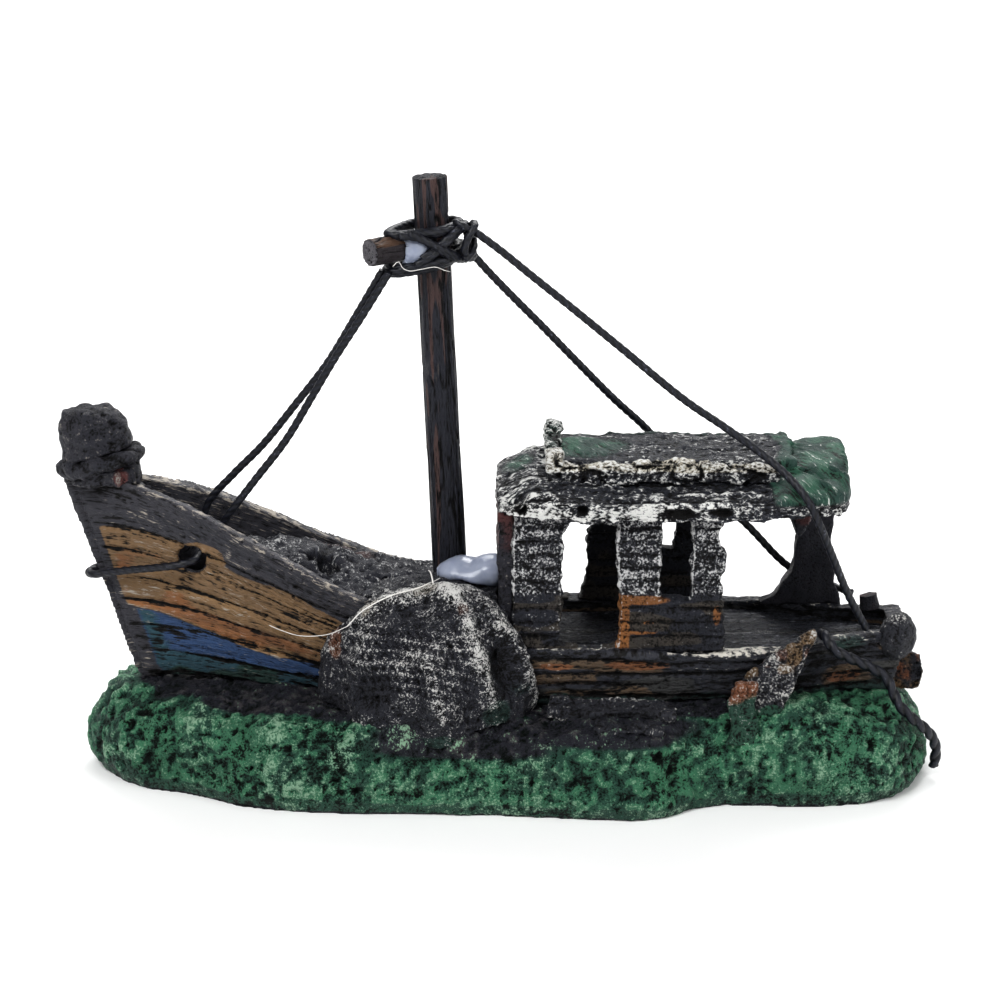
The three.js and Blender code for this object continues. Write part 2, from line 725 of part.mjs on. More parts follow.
function windingBand(low, high, rise, grow) {
  const sides = 24;
  const stages = [[0.86, 0], [1, 0.28], [1, 0.72], [0.86, 1]];
  return loft(stages.map(([share, level]) => {
    const ring = [];
    for (let i = 0; i < sides; i += 1) {
      const angle = (2 * Math.PI * i) / sides;
      const a = (bandRound[0] + grow) * share * Math.cos(angle);
      const b = (bandRound[1] + grow) * share * Math.sin(angle);
      ring.push([
        mastAt(pegHeight) + pegAim[0] * (bandShift + a) - pegAim[1] * b,
        pegAim[1] * (bandShift + a) + pegAim[0] * b,
        low - grow + level * (high - low + 2 * grow) + rise * Math.cos(angle),
      ]);
    }
    return ring;
  }));
}

// The bands spread apart over the peg and meet behind the mast.
function bothBands(grow) {
  const upper = windingBand(pegHeight + 1.4, pegHeight + 3.6, 1.2, grow);
  const lower = windingBand(pegHeight - 3.8, pegHeight - 1.6, -1.3, grow);
  const back = mastAt(pegHeight) + mastDiameter / 2;
  const [low, high] = [pegHeight - 2.6, pegHeight + 2.4];
  return upper.add(lower).add(bar([back, 2, low], [back, 2, high], 2 + grow, 10));
}

const mastLashing = () => bothBands(0)
  .subtract(mastBar(mastDiameter / 2 + gap)).subtract(pegBar(pegDiameter / 2 + gap));

// ---------------------------------------------------------------- hot glue

const yardGlue = () => lump([...pegPoint(5.6).slice(0, 2), pegHeight - 0.1], [3.9, 3.9, 3.7])
  .subtract(pegBar(pegDiameter / 2 + gap)).subtract(mastBar(mastDiameter / 2 + gap))
  .subtract(bothBands(gap));

const mastFootGlue = () => lump([mastX + 4.3, -5.2, 39], [8, 4.4, 2.9], -0.2)
  .subtract(mastBar(mastDiameter / 2 + gap)).subtract(heap(gap)).subtract(rubbleGrown())
  .subtract(cabinWallSpace());

// The rubble, swollen by the gap, for what lies on it.
function rubbleGrown() {
  return rubble().add(rubble().translate([0, 0, gap]));
}

// ---------------------------------------------------------------- rigging

// One cord runs from the peg down to the bow, out of one hawsehole, round the stem, in at the
// other and back up to the peg. It is three tubes that meet inside the hold.
const farForestay = [
  [-20.6, -6.6, 97.4], [-25.9, -4.2, 88], [-31.3, -1.4, 78.7], [-37.5, 0.4, 70.3],
  [-43.7, 1.9, 62.3], [-49.5, 2.9, 56.2], [-54.2, 3.2, 50.8], [-55.6, 3.1, 46.4],
];
const nearForestay = [
  [-19.4, -8.1, 97.4], [-24.4, -7.6, 89.2], [-29.4, -6.8, 81.3], [-34, -6, 73.4],
  [-38.9, -5.2, 65.1], [-45, -4.4, 57], [-50.8, -3.6, 49.1], [-53.6, -2.8, 44.6],
];
const bowLoop = [
  [-55.6, -3.9, 42.6], [-56.2, -7.2, 42.5], [-59, -8.2, 41.9], [-64, -6.7, 40.8], [-69, -4.7, 39.7],
  [-73.4, -3.1, 38.6], [-76, -2, 38], [-77, 0, 37.8], [-76, 2, 38], [-73.4, 3.1, 38.6],
  [-69, 4.7, 39.7], [-64, 6.7, 40.8], [-59, 8.2, 41.9], [-56.2, 7.2, 42.5], [-55.6, 3.9, 42.6],
];

// The backstays go over the roof's eaves and end at the stern.
const nearBackstay = [
  [-4.7, -1.3, 104.1], [0.6, -2.1, 100.3], [6.3, -3, 95.8], [14.5, -4.4, 89.4], [22.6, -6, 83],
  [34.4, -9, 73.8], [41.7, -11, 69.2], [48.9, -13.4, 64.4], [53.4, -16.2, 60.9], [56.4, -19, 57.6],
  [58.4, -19.4, 53.6], [61.4, -16.8, 46.4], [64.8, -13.4, 38.1], [69, -9.4, 29.8],
];
const farBackstay = [
  [-4.6, 1.9, 98.9], [-1.2, 3.9, 94.6], [3.2, 6.4, 89.4], [8.2, 9, 83.7], [15.4, 12.3, 75.4],
  [22.6, 15.4, 67.3], [28, 17.6, 61.8], [31.2, 19.2, 58], [36, 19.4, 53], [43, 18.8, 46.6],
  [49.1, 18, 41], [55.6, 16.8, 34.4], [60.6, 16.2, 31], [65.6, 14.9, 29.9], [68.6, 11.4, 29.8],
];

// The stern rope lies over the gunwale and down the planks, and its tail hangs off the rock.
const sternRope = [
  [60.6, -11.4, 29.6], [61.2, -13.8, 29.4], [62.6, -15.1, 27.6], [65.6, -14, 25.6],
  [69.4, -12.8, 23.4], [72.6, -12.4, 21.2], [74, -13.6, 18.6], [75.2, -14.9, 16.4],
  [77.6, -15, 14], [80.2, -13.6, 11.4], [82.1, -11.6, 8.6], [83, -10, 5.4], [82.8, -9, 2.2],
];

// ---------------------------------------------------------------- air parts, inside the rock

const hoseZ = grooveWide / 2;

function airStone() {
  const profile = [
    [0, 0], [stoneDiameter / 2 - 0.8, 0], [stoneDiameter / 2, 0.8],
    [stoneDiameter / 2, stoneLong - 0.8], [stoneDiameter / 2 - 0.8, stoneLong], [0, stoneLong],
  ].map(([r, y]) => new THREE.Vector2(r, y));
  const stone = new THREE.LatheGeometry(profile, 20);
  stone.translate(chamberX, stoneY - stoneLong / 2, stoneDiameter / 2 + 0.4);
  const spigot = bar(
    [chamberX, stoneY + stoneLong / 2 - 1, stoneDiameter / 2 + 0.4],
    [chamberX, stoneY + stoneLong / 2 + 2.5, stoneDiameter / 2 + 0.4],
    hoseBore / 2,
    12,
  );
  return solid(stone).add(spigot);
}

function pipe(from, to, outer, inner) {
  return bar(from, to, outer / 2, 16).subtract(bar(
    from.map((value, i) => value - (to[i] - value)),
    to.map((value, i) => value + (value - from[i])),
    inner / 2,
    12,
  ));
}

const tubeStartY = stoneY + stoneLong / 2 + 2.5 + gap;
const tubeEndY = nippleY - 9;
const airTube = () => pipe(
  [chamberX, tubeStartY, hoseZ], [chamberX, tubeEndY, hoseZ], hoseOutside, hoseBore,
);
const airNipple = () => pipe(
  [chamberX, tubeEndY + gap, hoseZ], [chamberX, nippleY, hoseZ], hoseOutside - 0.6, hoseBore,
);

// ---------------------------------------------------------------- the assembly

const resin = { roughness: 0.75, metalness: 0 };
const finishes = {
  moss: { color: 0x2c5a3c, ...resin },
  planks: { color: 0x6b5433, ...resin },
  charcoal: { color: 0x3a3836, ...resin },
  net: { color: 0x55524e, ...resin },
  whitewash: { color: 0x8a8880, ...resin },
  rust: { color: 0x6e3a20, ...resin },
  wood: { color: 0x3b2f26, roughness: 0.6, metalness: 0 },
  bamboo: { color: 0x6d5334, roughness: 0.6, metalness: 0 },
  glue: { color: 0xc9ccd6, roughness: 0.2, metalness: 0 },
  cord: { color: 0x1b1b20, roughness: 0.5, metalness: 0 },
  airline: { color: 0xd8dcd8, roughness: 0.3, metalness: 0 },
  stone: { color: 0x7f8fa6, roughness: 0.9, metalness: 0 },
};

const group = new THREE.Group();

function add(name, finish, geometry) {
  const mesh = new THREE.Mesh(geometry, new THREE.MeshStandardMaterial(finishes[finish]));
  mesh.name = name;
  group.add(mesh);
}

add("rock_base", "moss", geometryOf(rockBase()));
add("bow_hull", "planks", geometryOf(bowHull()));
add("stem_head", "charcoal", geometryOf(stemHead()));
add("stem_lashing", "charcoal", geometryOf(stemLashing()));
add("hold_rubble", "charcoal", geometryOf(holdRubble()));
add("net_heap", "net", geometryOf(netHeap()));
add("stern_hull", "planks", geometryOf(sternHull()));
add("stern_deck", "charcoal", geometryOf(sternDeck()));
add("near_cabin_wall", "whitewash", geometryOf(nearCabinWall()));
add("far_cabin_wall", "whitewash", geometryOf(farCabinWall()));
add("front_cabin_wall", "rust", geometryOf(frontCabinWall()));
add("rear_cabin_post", "charcoal", geometryOf(rearCabinPost()));
add("cabin_roof", "whitewash", geometryOf(cabinRoof()));
add("roof_coaming", "whitewash", geometryOf(roofCoaming()));
add("roof_shard", "rust", geometryOf(roofShard()));
add("leaning_plank", "whitewash", geometryOf(leaningPlank()));
add("plank_stub", "rust", geometryOf(plankStub()));
add("near_quarter_block", "charcoal", geometryOf(nearQuarterBlock()));
add("far_bitt", "rust", geometryOf(farBitt()));
add("rudder", "rust", geometryOf(rudder()));
fallenPlanks.forEach((_, i) => {
  add(`fallen_plank_${i + 1}`, "charcoal", geometryOf(fallenPlank(i)));
});
add("mast", "wood", geometryOf(mastBar(mastDiameter / 2)));
add("yard_peg", "bamboo", geometryOf(yardPeg()));
add("mast_foot_glue", "glue", geometryOf(mastFootGlue()));
add("yard_glue", "glue", geometryOf(yardGlue()));
add("mast_lashing", "cord", geometryOf(mastLashing()));
add("near_forestay", "cord", cordTube(nearForestay, cord));
add("far_forestay", "cord", cordTube(farForestay, cord));
add("bow_rope", "cord", cordTube(bowLoop, cord));
add("near_backstay", "cord", cordTube(nearBackstay, cord));
add("far_backstay", "cord", cordTube(farBackstay, cord));
add("stern_rope", "cord", cordTube(sternRope, rope));
add("air_nipple", "airline", geometryOf(airNipple()));
add("air_tube", "airline", geometryOf(airTube()));
add("air_stone", "stone", geometryOf(airStone()));

export default group;
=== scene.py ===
# A boat wreck on a mossy rock, cast in polyresin, painted and rigged by hand, for an aquarium.
import math

import bpy
import numpy as np
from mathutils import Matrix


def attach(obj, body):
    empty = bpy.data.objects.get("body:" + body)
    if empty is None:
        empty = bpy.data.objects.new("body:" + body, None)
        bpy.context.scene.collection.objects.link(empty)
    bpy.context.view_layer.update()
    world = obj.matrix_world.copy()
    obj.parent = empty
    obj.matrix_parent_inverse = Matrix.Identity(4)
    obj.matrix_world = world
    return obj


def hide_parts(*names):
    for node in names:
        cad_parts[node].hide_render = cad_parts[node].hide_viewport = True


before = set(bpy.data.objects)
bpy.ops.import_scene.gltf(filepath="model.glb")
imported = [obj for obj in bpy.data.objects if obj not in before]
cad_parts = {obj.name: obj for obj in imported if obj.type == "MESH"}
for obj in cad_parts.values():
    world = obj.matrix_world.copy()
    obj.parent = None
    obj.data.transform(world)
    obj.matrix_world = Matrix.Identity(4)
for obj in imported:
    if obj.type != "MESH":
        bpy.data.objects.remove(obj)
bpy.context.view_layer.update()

# ---- Table, lights and camera --------------------------------------------------------------
# A plain white table in a studio. Two soft lamps stand in front and a weaker one behind; a
# wide one lights the table beyond the ship.

bpy.ops.object.select_all(action="DESELECT")
bpy.ops.mesh.primitive_plane_add(size=8, location=(0, 0, 0))
table = bpy.context.object
table.name = "table"


def linear(colour, alpha=1.0):
    """An sRGB hex colour as linear values."""
    parts = [int(colour[i : i + 2], 16) / 255 for i in (1, 3, 5)]
    return [c / 12.92 if c <= 0.04045 else ((c + 0.055) / 1.055) ** 2.4 for c in parts] + [alpha]


def add(tree, kind, values={}, **settings):
    """Adds one node with its settings, its values and its links."""
    made = tree.nodes.new("ShaderNode" + kind)
    for name, value in settings.items():
        setattr(made, name, value)
    for name, value in values.items():
        if isinstance(value, bpy.types.NodeSocket):
            tree.links.new(value, made.inputs[name])
        else:
            made.inputs[name].default_value = value
    return made


def blank(name):
    """A new material whose node tree has been emptied, and the tree."""
    material = bpy.data.materials.new(name)
    material.use_nodes = True
    material.node_tree.nodes.clear()
    return material, material.node_tree


def surface(tree, values):
    """Ends a material in one shader."""
    shader = add(tree, "BsdfPrincipled", values)
    add(tree, "OutputMaterial", {"Surface": shader.outputs[0]})


# Matt white laminate.
laminate, tree = blank("white laminate")
surface(tree, {"Base Color": linear("#f4f4f4"), "Roughness": 0.7})
table.data.materials.append(laminate)

world = bpy.data.worlds.new("studio")
bpy.context.scene.world = world
world.use_nodes = True
world.node_tree.nodes["Background"].inputs["Color"].default_value = linear("#ffffff")
world.node_tree.nodes["Background"].inputs["Strength"].default_value = 0.36

# Where each lamp stands, what it aims at, its size in metres and its power in watts.
for name, place, aim, size, power in [
    ("key", (-0.35, -0.55, 0.75), (0, 0, 0.04), 0.42, 6.4),
    ("fill", (0.65, -0.5, 0.45), (0, 0, 0.04), 0.5, 2.8),
    ("rim", (0.2, 0.6, 0.6), (0, 0, 0.05), 0.5, 2.6),
    ("backdrop", (0, 1.5, 1.3), (0, 1.5, 0), 1.4, 22),
]:
    bpy.ops.object.light_add(type="AREA", location=place)
    lamp = bpy.context.object
    lamp.name = name
    lamp.data.size = size
    lamp.data.energy = power
    to = np.array(aim) - np.array(place)
    lamp.rotation_euler = (
        math.atan2(math.hypot(to[0], to[1]), -to[2]), 0, math.atan2(to[1], to[0]) - math.pi / 2
    )

view_down = math.radians(17)
view_from, view_at = 0.56, (0.00066, 0, 0.052)
bpy.ops.object.camera_add(
    location=(
        view_at[0],
        view_at[1] - view_from * math.cos(view_down),
        view_at[2] + view_from * math.sin(view_down),
    ),
    rotation=(math.pi / 2 - view_down, 0, 0),
)
camera = bpy.context.object
camera.data.sensor_width = 36
camera.data.lens = 107.5
camera.data.clip_start = 0.01
bpy.context.scene.camera = camera
bpy.context.scene.view_settings.view_transform = "Standard"
bpy.context.scene.view_settings.look = "Medium High Contrast"

# ---- Rigging cords ---------------------------------------------------------------------------
# Black waxed cotton, three strands laid up. One cord runs from the yard to the bow, out of one
# hawsehole, round the stem and back; two backstays go over the roof to the stern, and a thicker
# rope lies over the gunwale with its tail off the rock.


def route(points, step):
    """A smooth curve through points in millimetres, as points in metres an even step apart."""
    p = np.array(points, float)
    p = np.vstack([2 * p[0] - p[1], p, 2 * p[-1] - p[-2]])
    line = []
    for a, b, c, d in zip(p, p[1:], p[2:], p[3:]):
        ab, bc, cd = (math.sqrt(np.linalg.norm(w - v)) for v, w in ((a, b), (b, c), (c, d)))
        leave = ((b - a) / ab - (c - a) / (ab + bc) + (c - b) / bc) * bc
        reach = ((c - b) / bc - (d - b) / (bc + cd) + (d - c) / cd) * bc
        for t in np.linspace(0, 1, 24, endpoint=False):
            line.append(
                (2 * t**3 - 3 * t**2 + 1) * b + (t**3 - 2 * t**2 + t) * leave
                + (3 * t**2 - 2 * t**3) * c + (t**3 - t**2) * reach
            )
    line = np.array(line + [p[-2]]) / 1000
    run = np.concatenate([[0], np.cumsum(np.linalg.norm(np.diff(line, axis=0), axis=1))])
    even = np.linspace(0, run[-1], max(8, round(run[-1] * 1000 / step)))
    return np.stack([np.interp(even, run, line[:, i]) for i in range(3)], axis=1), run[-1]


def laid_cord(name, path, diameter, pitch=3.4, strands=3, sides=18, notch=0.22):
    """A tube along the path whose section has a lobe for each strand and turns as it goes."""
    ahead = np.gradient(path, axis=0)
    ahead /= np.linalg.norm(ahead, axis=1)[:, None]
    side = np.cross(ahead[0], (0.3, 0.2, 0.9))
    rings = []
    angle = np.linspace(0, 2 * math.pi, sides, endpoint=False)
    far = np.concatenate([[0], np.cumsum(np.linalg.norm(np.diff(path, axis=0), axis=1))])
    groove = []
    for place, way, gone in zip(path, ahead, far):
        side = side - way * side.dot(way)
        side /= np.linalg.norm(side)
        other = np.cross(way, side)
        lobe = np.abs(np.cos((angle - 2 * math.pi * gone / (pitch * diameter)) * strands / 2))
        out = diameter / 2 * (1 - notch + notch * lobe**0.6)
        around = np.outer(np.cos(angle), side) + np.outer(np.sin(angle), other)
        rings.append(place + out[:, None] * around)
        groove.append(lobe)
    count = len(rings)
    verts = np.concatenate(rings + [path[:1], path[-1:]])
    faces = []
    for k in range(count - 1):
        for i in range(sides):
            a, b = k * sides + i, k * sides + (i + 1) % sides
            faces.append((a, b, b + sides, a + sides))
    for i in range(sides):
        faces.append(((i + 1) % sides, i, count * sides))
        last = (count - 1) * sides
        faces.append((last + i, last + (i + 1) % sides, count * sides + 1))
    mesh = bpy.data.meshes.new(name)
    mesh.from_pydata(verts.tolist(), [], faces)
    mesh.shade_smooth()
    strand = mesh.attributes.new("strand", "FLOAT", "POINT")
    strand.data.foreach_set("value", np.concatenate(groove + [[1, 1]]).astype(np.float32))
    piece = bpy.data.objects.new(name, mesh)
    bpy.context.scene.collection.objects.link(piece)
    return piece


def noise(tree, at, scale, detail, rough=0.5):
    """Cloudy noise from 0 to 1."""
    values = {"Vector": at, "Scale": scale, "Detail": detail, "Roughness": rough}
    return add(tree, "TexNoise", values).outputs["Fac"]


def spread(tree, value, low, high, to_low=0.0, to_high=1.0, kind="LINEAR"):
    """Stretches low to high over another range, and clamps what is outside it."""
    values = {"From Min": low, "From Max": high, "To Min": to_low, "To Max": to_high}
    return add(tree, "MapRange", {"Value": value, **values}, interpolation_type=kind).outputs[0]


def mixed(tree, share, under, over, blend="MIX"):
    """One colour over another."""
    values = {0: share, 6: under, 7: over}
    return add(tree, "Mix", values, data_type="RGBA", blend_type=blend).outputs[2]


# Waxed cotton: near black, with painted shade in the grooves and painted sheen along each strand,
# dust and lint caught in the wax.
waxed_cotton, tree = blank("waxed cotton cord")
place = add(tree, "TexCoord").outputs["Object"]
strand = add(tree, "Attribute", attribute_name="strand").outputs["Fac"]
fibre, lint = noise(tree, place, 2400, 4, 0.7), noise(tree, place, 900, 5, 0.75)
caught = add(tree, "Math", {0: spread(tree, lint, 0.6, 0.72), 1: strand}, operation="MULTIPLY")
# Dark in the grooves, lighter on each strand's crown: painted shade and painted sheen.
black = mixed(tree, strand, linear("#07080b"), linear("#191b24"))
bump = add(tree, "Bump", {"Height": fibre, "Strength": 0.6, "Distance": 0.00012})
surface(tree, {
    "Base Color": mixed(tree, caught.outputs[0], black, linear("#6c6f7e")), "Roughness": 0.42,
    "Normal": bump.outputs[0], "Specular IOR Level": 0.35,
})

cord_thick, rope_thick = 1.5, 2.1
# Each cord's node, its points in millimetres, its thickness, how it lies and how it ends.
cords = [
    ("near_forestay", [
        (-19.4, -8.1, 97.4), (-24.4, -7.6, 89.2), (-29.4, -6.8, 81.3), (-34, -6, 73.4),
        (-38.9, -5.2, 65.1), (-45, -4.4, 57), (-50.8, -3.6, 49.1), (-53.6, -2.8, 44.6),
    ], cord_thick, "taut", "object"),
    ("far_forestay", [
        (-20.6, -6.6, 97.4), (-25.9, -4.2, 88), (-31.3, -1.4, 78.7), (-37.5, 0.4, 70.3),
        (-43.7, 1.9, 62.3), (-49.5, 2.9, 56.2), (-54.2, 3.2, 50.8), (-55.6, 3.1, 46.4),
    ], cord_thick, "taut", "object"),
    ("bow_rope", [
        (-55.6, -3.9, 42.6), (-56.2, -7.2, 42.5), (-59, -8.2, 41.9), (-64, -6.7, 40.8),
        (-69, -4.7, 39.7), (-73.4, -3.1, 38.6), (-76, -2, 38), (-77, 0, 37.8), (-76, 2, 38),
        (-73.4, 3.1, 38.6), (-69, 4.7, 39.7), (-64, 6.7, 40.8), (-59, 8.2, 41.9),
        (-56.2, 7.2, 42.5), (-55.6, 3.9, 42.6),
    ], cord_thick, "taut", "object"),
    ("near_backstay", [
        (-4.7, -1.3, 104.1), (0.6, -2.1, 100.3), (6.3, -3, 95.8), (14.5, -4.4, 89.4),
        (22.6, -6, 83), (34.4, -9, 73.8), (41.7, -11, 69.2), (48.9, -13.4, 64.4),
        (53.4, -16.2, 60.9), (56.4, -19, 57.6), (58.4, -19.4, 53.6), (61.4, -16.8, 46.4),
        (64.8, -13.4, 38.1), (69, -9.4, 29.8),
    ], cord_thick, "taut", "object"),
    ("far_backstay", [
        (-4.6, 1.9, 98.9), (-1.2, 3.9, 94.6), (3.2, 6.4, 89.4), (8.2, 9, 83.7), (15.4, 12.3, 75.4),
        (22.6, 15.4, 67.3), (28, 17.6, 61.8), (31.2, 19.2, 58), (36, 19.4, 53), (43, 18.8, 46.6),
        (49.1, 18, 41), (55.6, 16.8, 34.4), (60.6, 16.2, 31), (65.6, 14.9, 29.9),
        (68.6, 11.4, 29.8),
    ], cord_thick, "taut", "object"),
    ("stern_rope", [
        (60.6, -11.4, 29.6), (61.2, -13.8, 29.4), (62.6, -15.1, 27.6), (65.6, -14, 25.6),
        (69.4, -12.8, 23.4), (72.6, -12.4, 21.2), (74, -13.6, 18.6), (75.2, -14.9, 16.4),
        (77.6, -15, 14), (80.2, -13.6, 11.4), (82.1, -11.6, 8.6), (83, -10, 5.4), (82.8, -9, 2.2),
    ], rope_thick, "loose", "bare"),
]
for node, points, thick, lay, end in cords:
    path, long = route(points, 0.24)
    lay_up = {"pitch": 2.8, "strands": 2, "notch": 0.4} if thick == rope_thick else {}
    piece = laid_cord(node + "_cord", path, thick / 1000, **lay_up)
    piece.data.materials.append(waxed_cotton)
    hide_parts(node)
    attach(piece, "root")

# ---- Rock base -------------------------------------------------------------------------------
# The rock is the foot of the casting: polyresin poured in a silicone mould taken from pitted
# stone. It is dipped dark, then sponged green, lighter on the raised grains as painted
# highlight, and brushed with yellow-green and cream.


def smooth(value, low, high):
    """0 below low, 1 above high, and a soft step between."""
    t = np.clip((value - low) / (high - low), 0, 1)
    return t * t * (3 - 2 * t)


def scatter(cell, seed):
    """The same number from 0 to 1 each time for a whole-numbered cell."""
    x, y, z = np.moveaxis(cell.astype(np.int64), -1, 0)
    mixed = x * 374761393 + y * 668265263 + z * 2147483647 + seed * 974711
    mixed = (mixed ^ (mixed >> 13)) * 1274126177
    return ((mixed ^ (mixed >> 16)) & 0xFFFFFF) / 0xFFFFFF


def ripple(at, size, seed=0):
    """Lumps and dips from -1 to 1, each about size across."""
    at = at / np.array(size, float)
    cell = np.floor(at)
    f = at - cell
    f = f * f * (3 - 2 * f)
    total = 0
    for step in np.ndindex(2, 2, 2):
        weight = np.prod(np.where(step, f, 1 - f), axis=1)
        total = total + weight * scatter(cell + step, seed)
    return 2 * total - 1


def pits(at, size, widest, seed=0):
    """1 in the middle of round pits of up to that radius, one to a cell, and 0 outside them."""
    low = np.floor(at / size - 0.5)
    deep = np.zeros(len(at))
    for step in np.ndindex(2, 2, 2):
        cell = low + step
        centre = cell + 0.5
        for i in range(3):
            centre[:, i] += 0.5 * (scatter(cell, seed + i) - 0.5)
        radius = widest * (0.35 + 0.65 * scatter(cell, seed + 5) ** 2)
        radius *= scatter(cell, seed + 9) > 0.3
        away = np.linalg.norm(at - centre * size, axis=1)
        deep = np.maximum(deep, 1 - away / np.maximum(radius, 1e-6))
    return np.sqrt(np.clip(deep, 0, 1))


def casting(name, node, voxel):
    """The plain solid of one moulded region with a skin fine enough to carve, in metres."""
    mesh = bpy.data.objects[node].data.copy()
    mesh.materials.clear()
    piece = bpy.data.objects.new(name, mesh)
    bpy.context.scene.collection.objects.link(piece)
    bpy.ops.object.select_all(action="DESELECT")
    piece.select_set(True)
    bpy.context.view_layer.objects.active = piece
    bpy.ops.object.mode_set(mode="EDIT")
    bpy.ops.mesh.select_all(action="SELECT")
    bpy.ops.mesh.remove_doubles(threshold=1e-6)
    bpy.ops.object.mode_set(mode="OBJECT")
    skin = piece.modifiers.new("skin", "REMESH")
    skin.mode, skin.voxel_size, skin.use_smooth_shade = "VOXEL", voxel / 1000, True
    bpy.ops.object.modifier_apply(modifier="skin")
    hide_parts(node)
    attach(piece, "root")
    return piece


def carve(piece, shape):
    """Moves the skin: shape takes places and normals in millimetres, and gives how far out each
    point goes, or the way it goes, and the marks that the paint reads."""
    mesh = piece.data
    at = np.empty(len(mesh.vertices) * 3, np.float32)
    out = np.empty_like(at)
    mesh.vertices.foreach_get("co", at)
    mesh.vertex_normals.foreach_get("vector", out)
    at, out = at.reshape(-1, 3).astype(float) * 1000, out.reshape(-1, 3).astype(float)
    push, marks = shape(at, out)
    at = at + (out * push[:, None] if push.ndim == 1 else push)
    at[:, 2] = np.maximum(at[:, 2], 0)
    mesh.vertices.foreach_set("co", (at / 1000).astype(np.float32).ravel())
    mesh.update()
    for name, value in marks.items():
        flat = np.asarray(value, np.float32)
        kind = "FLOAT_VECTOR" if flat.ndim == 2 else "FLOAT"
        mark = mesh.attributes.new(name, kind, "POINT")
        mark.data.foreach_set("vector" if flat.ndim == 2 else "value", flat.ravel())


def near(at, centre, radius):
    """1 at a place, falling softly to 0 at the radius, which may differ along each axis."""
    away = np.linalg.norm((at - np.array(centre)) / np.array(radius, float), axis=1)
    return 1 - smooth(away, 0.3, 1)


def cast(name, node, voxel, shape, finish):
    """Carves one moulded region and paints it."""
    piece = casting(name, node, voxel)
    carve(piece, shape)
    piece.data.materials.append(finish)


def painted(
    name, coats, brush, wash="#0b0a0a", shine=0.55, washed=0.45, ragged=0.5, grit=0.45, tooth=0.5
):
    """Hand-painted polyresin. Each coat is a colour and the mark that says where it lies; then
    a dark wash lies in the hollows and a nearly dry brush has caught what stands proud. Grit is
    the size of the grain and tooth is its height, in millimetres."""
    material, tree = blank(name)
    flow = add(tree, "Attribute", attribute_name="flow").outputs["Vector"]

    def marked(mark):
        return add(tree, "Attribute", attribute_name=mark).outputs["Fac"]

    def summed(value, by, plus):
        return add(tree, "Math", {0: value, 1: by, 2: plus}, operation="MULTIPLY_ADD").outputs[0]

    def soft(value, low, high):
        return spread(tree, value, low, high, kind="SMOOTHSTEP")

    grain, speck, patch = (
        noise(tree, flow, *kind) for kind in ((1 / grit, 5, 0.68), (4.5, 3, 0.6), (0.22, 3, 0.55))
    )
    # Height of the skin as the paint sees it, about 0.5 on average.
    fine = summed(grain, 1.9, -0.95)
    height = summed(marked("relief"), 1.0, fine)
    colour = linear(coats[0][0])
    for shade, mark in coats[1:]:
        torn = summed(marked(mark), 1.0, summed(grain, ragged, -0.5 * ragged))
        colour = mixed(tree, soft(torn, 0.35, 0.65), colour, linear(shade))
    colour = mixed(tree, 1.0, colour, spread(tree, patch, 0.3, 0.7, 0.7, 1.3), "MULTIPLY")
    # A constant grey-blue mixed over the coats: painted cool ambient light, which lifts the dark
    # paint.
    colour = mixed(tree, 0.1, colour, linear("#737c92"))
    colour = mixed(tree, soft(height, washed, washed - 0.2), colour, linear(wash))
    # How much the brush gave here moves the height that it caught.
    caught = summed(summed(marked("dust"), 0.75, -1.16), 1.0, summed(speck, 0.5, height))
    colour = mixed(tree, soft(caught, 0.0, 0.22), colour, linear(brush))
    gloss = spread(tree, speck, 0.3, 0.7, shine - 0.16, shine + 0.12)
    bump = add(tree, "Bump", {"Height": fine, "Strength": 1.0, "Distance": tooth / 1000})
    surface(tree, {
        "Base Color": colour, "Roughness": gloss, "Normal": bump.outputs[0],
        "Specular IOR Level": 0.28,
    })
    return material


rock_top = 16.5
rock_half_long, rock_half_deep = 76, 27


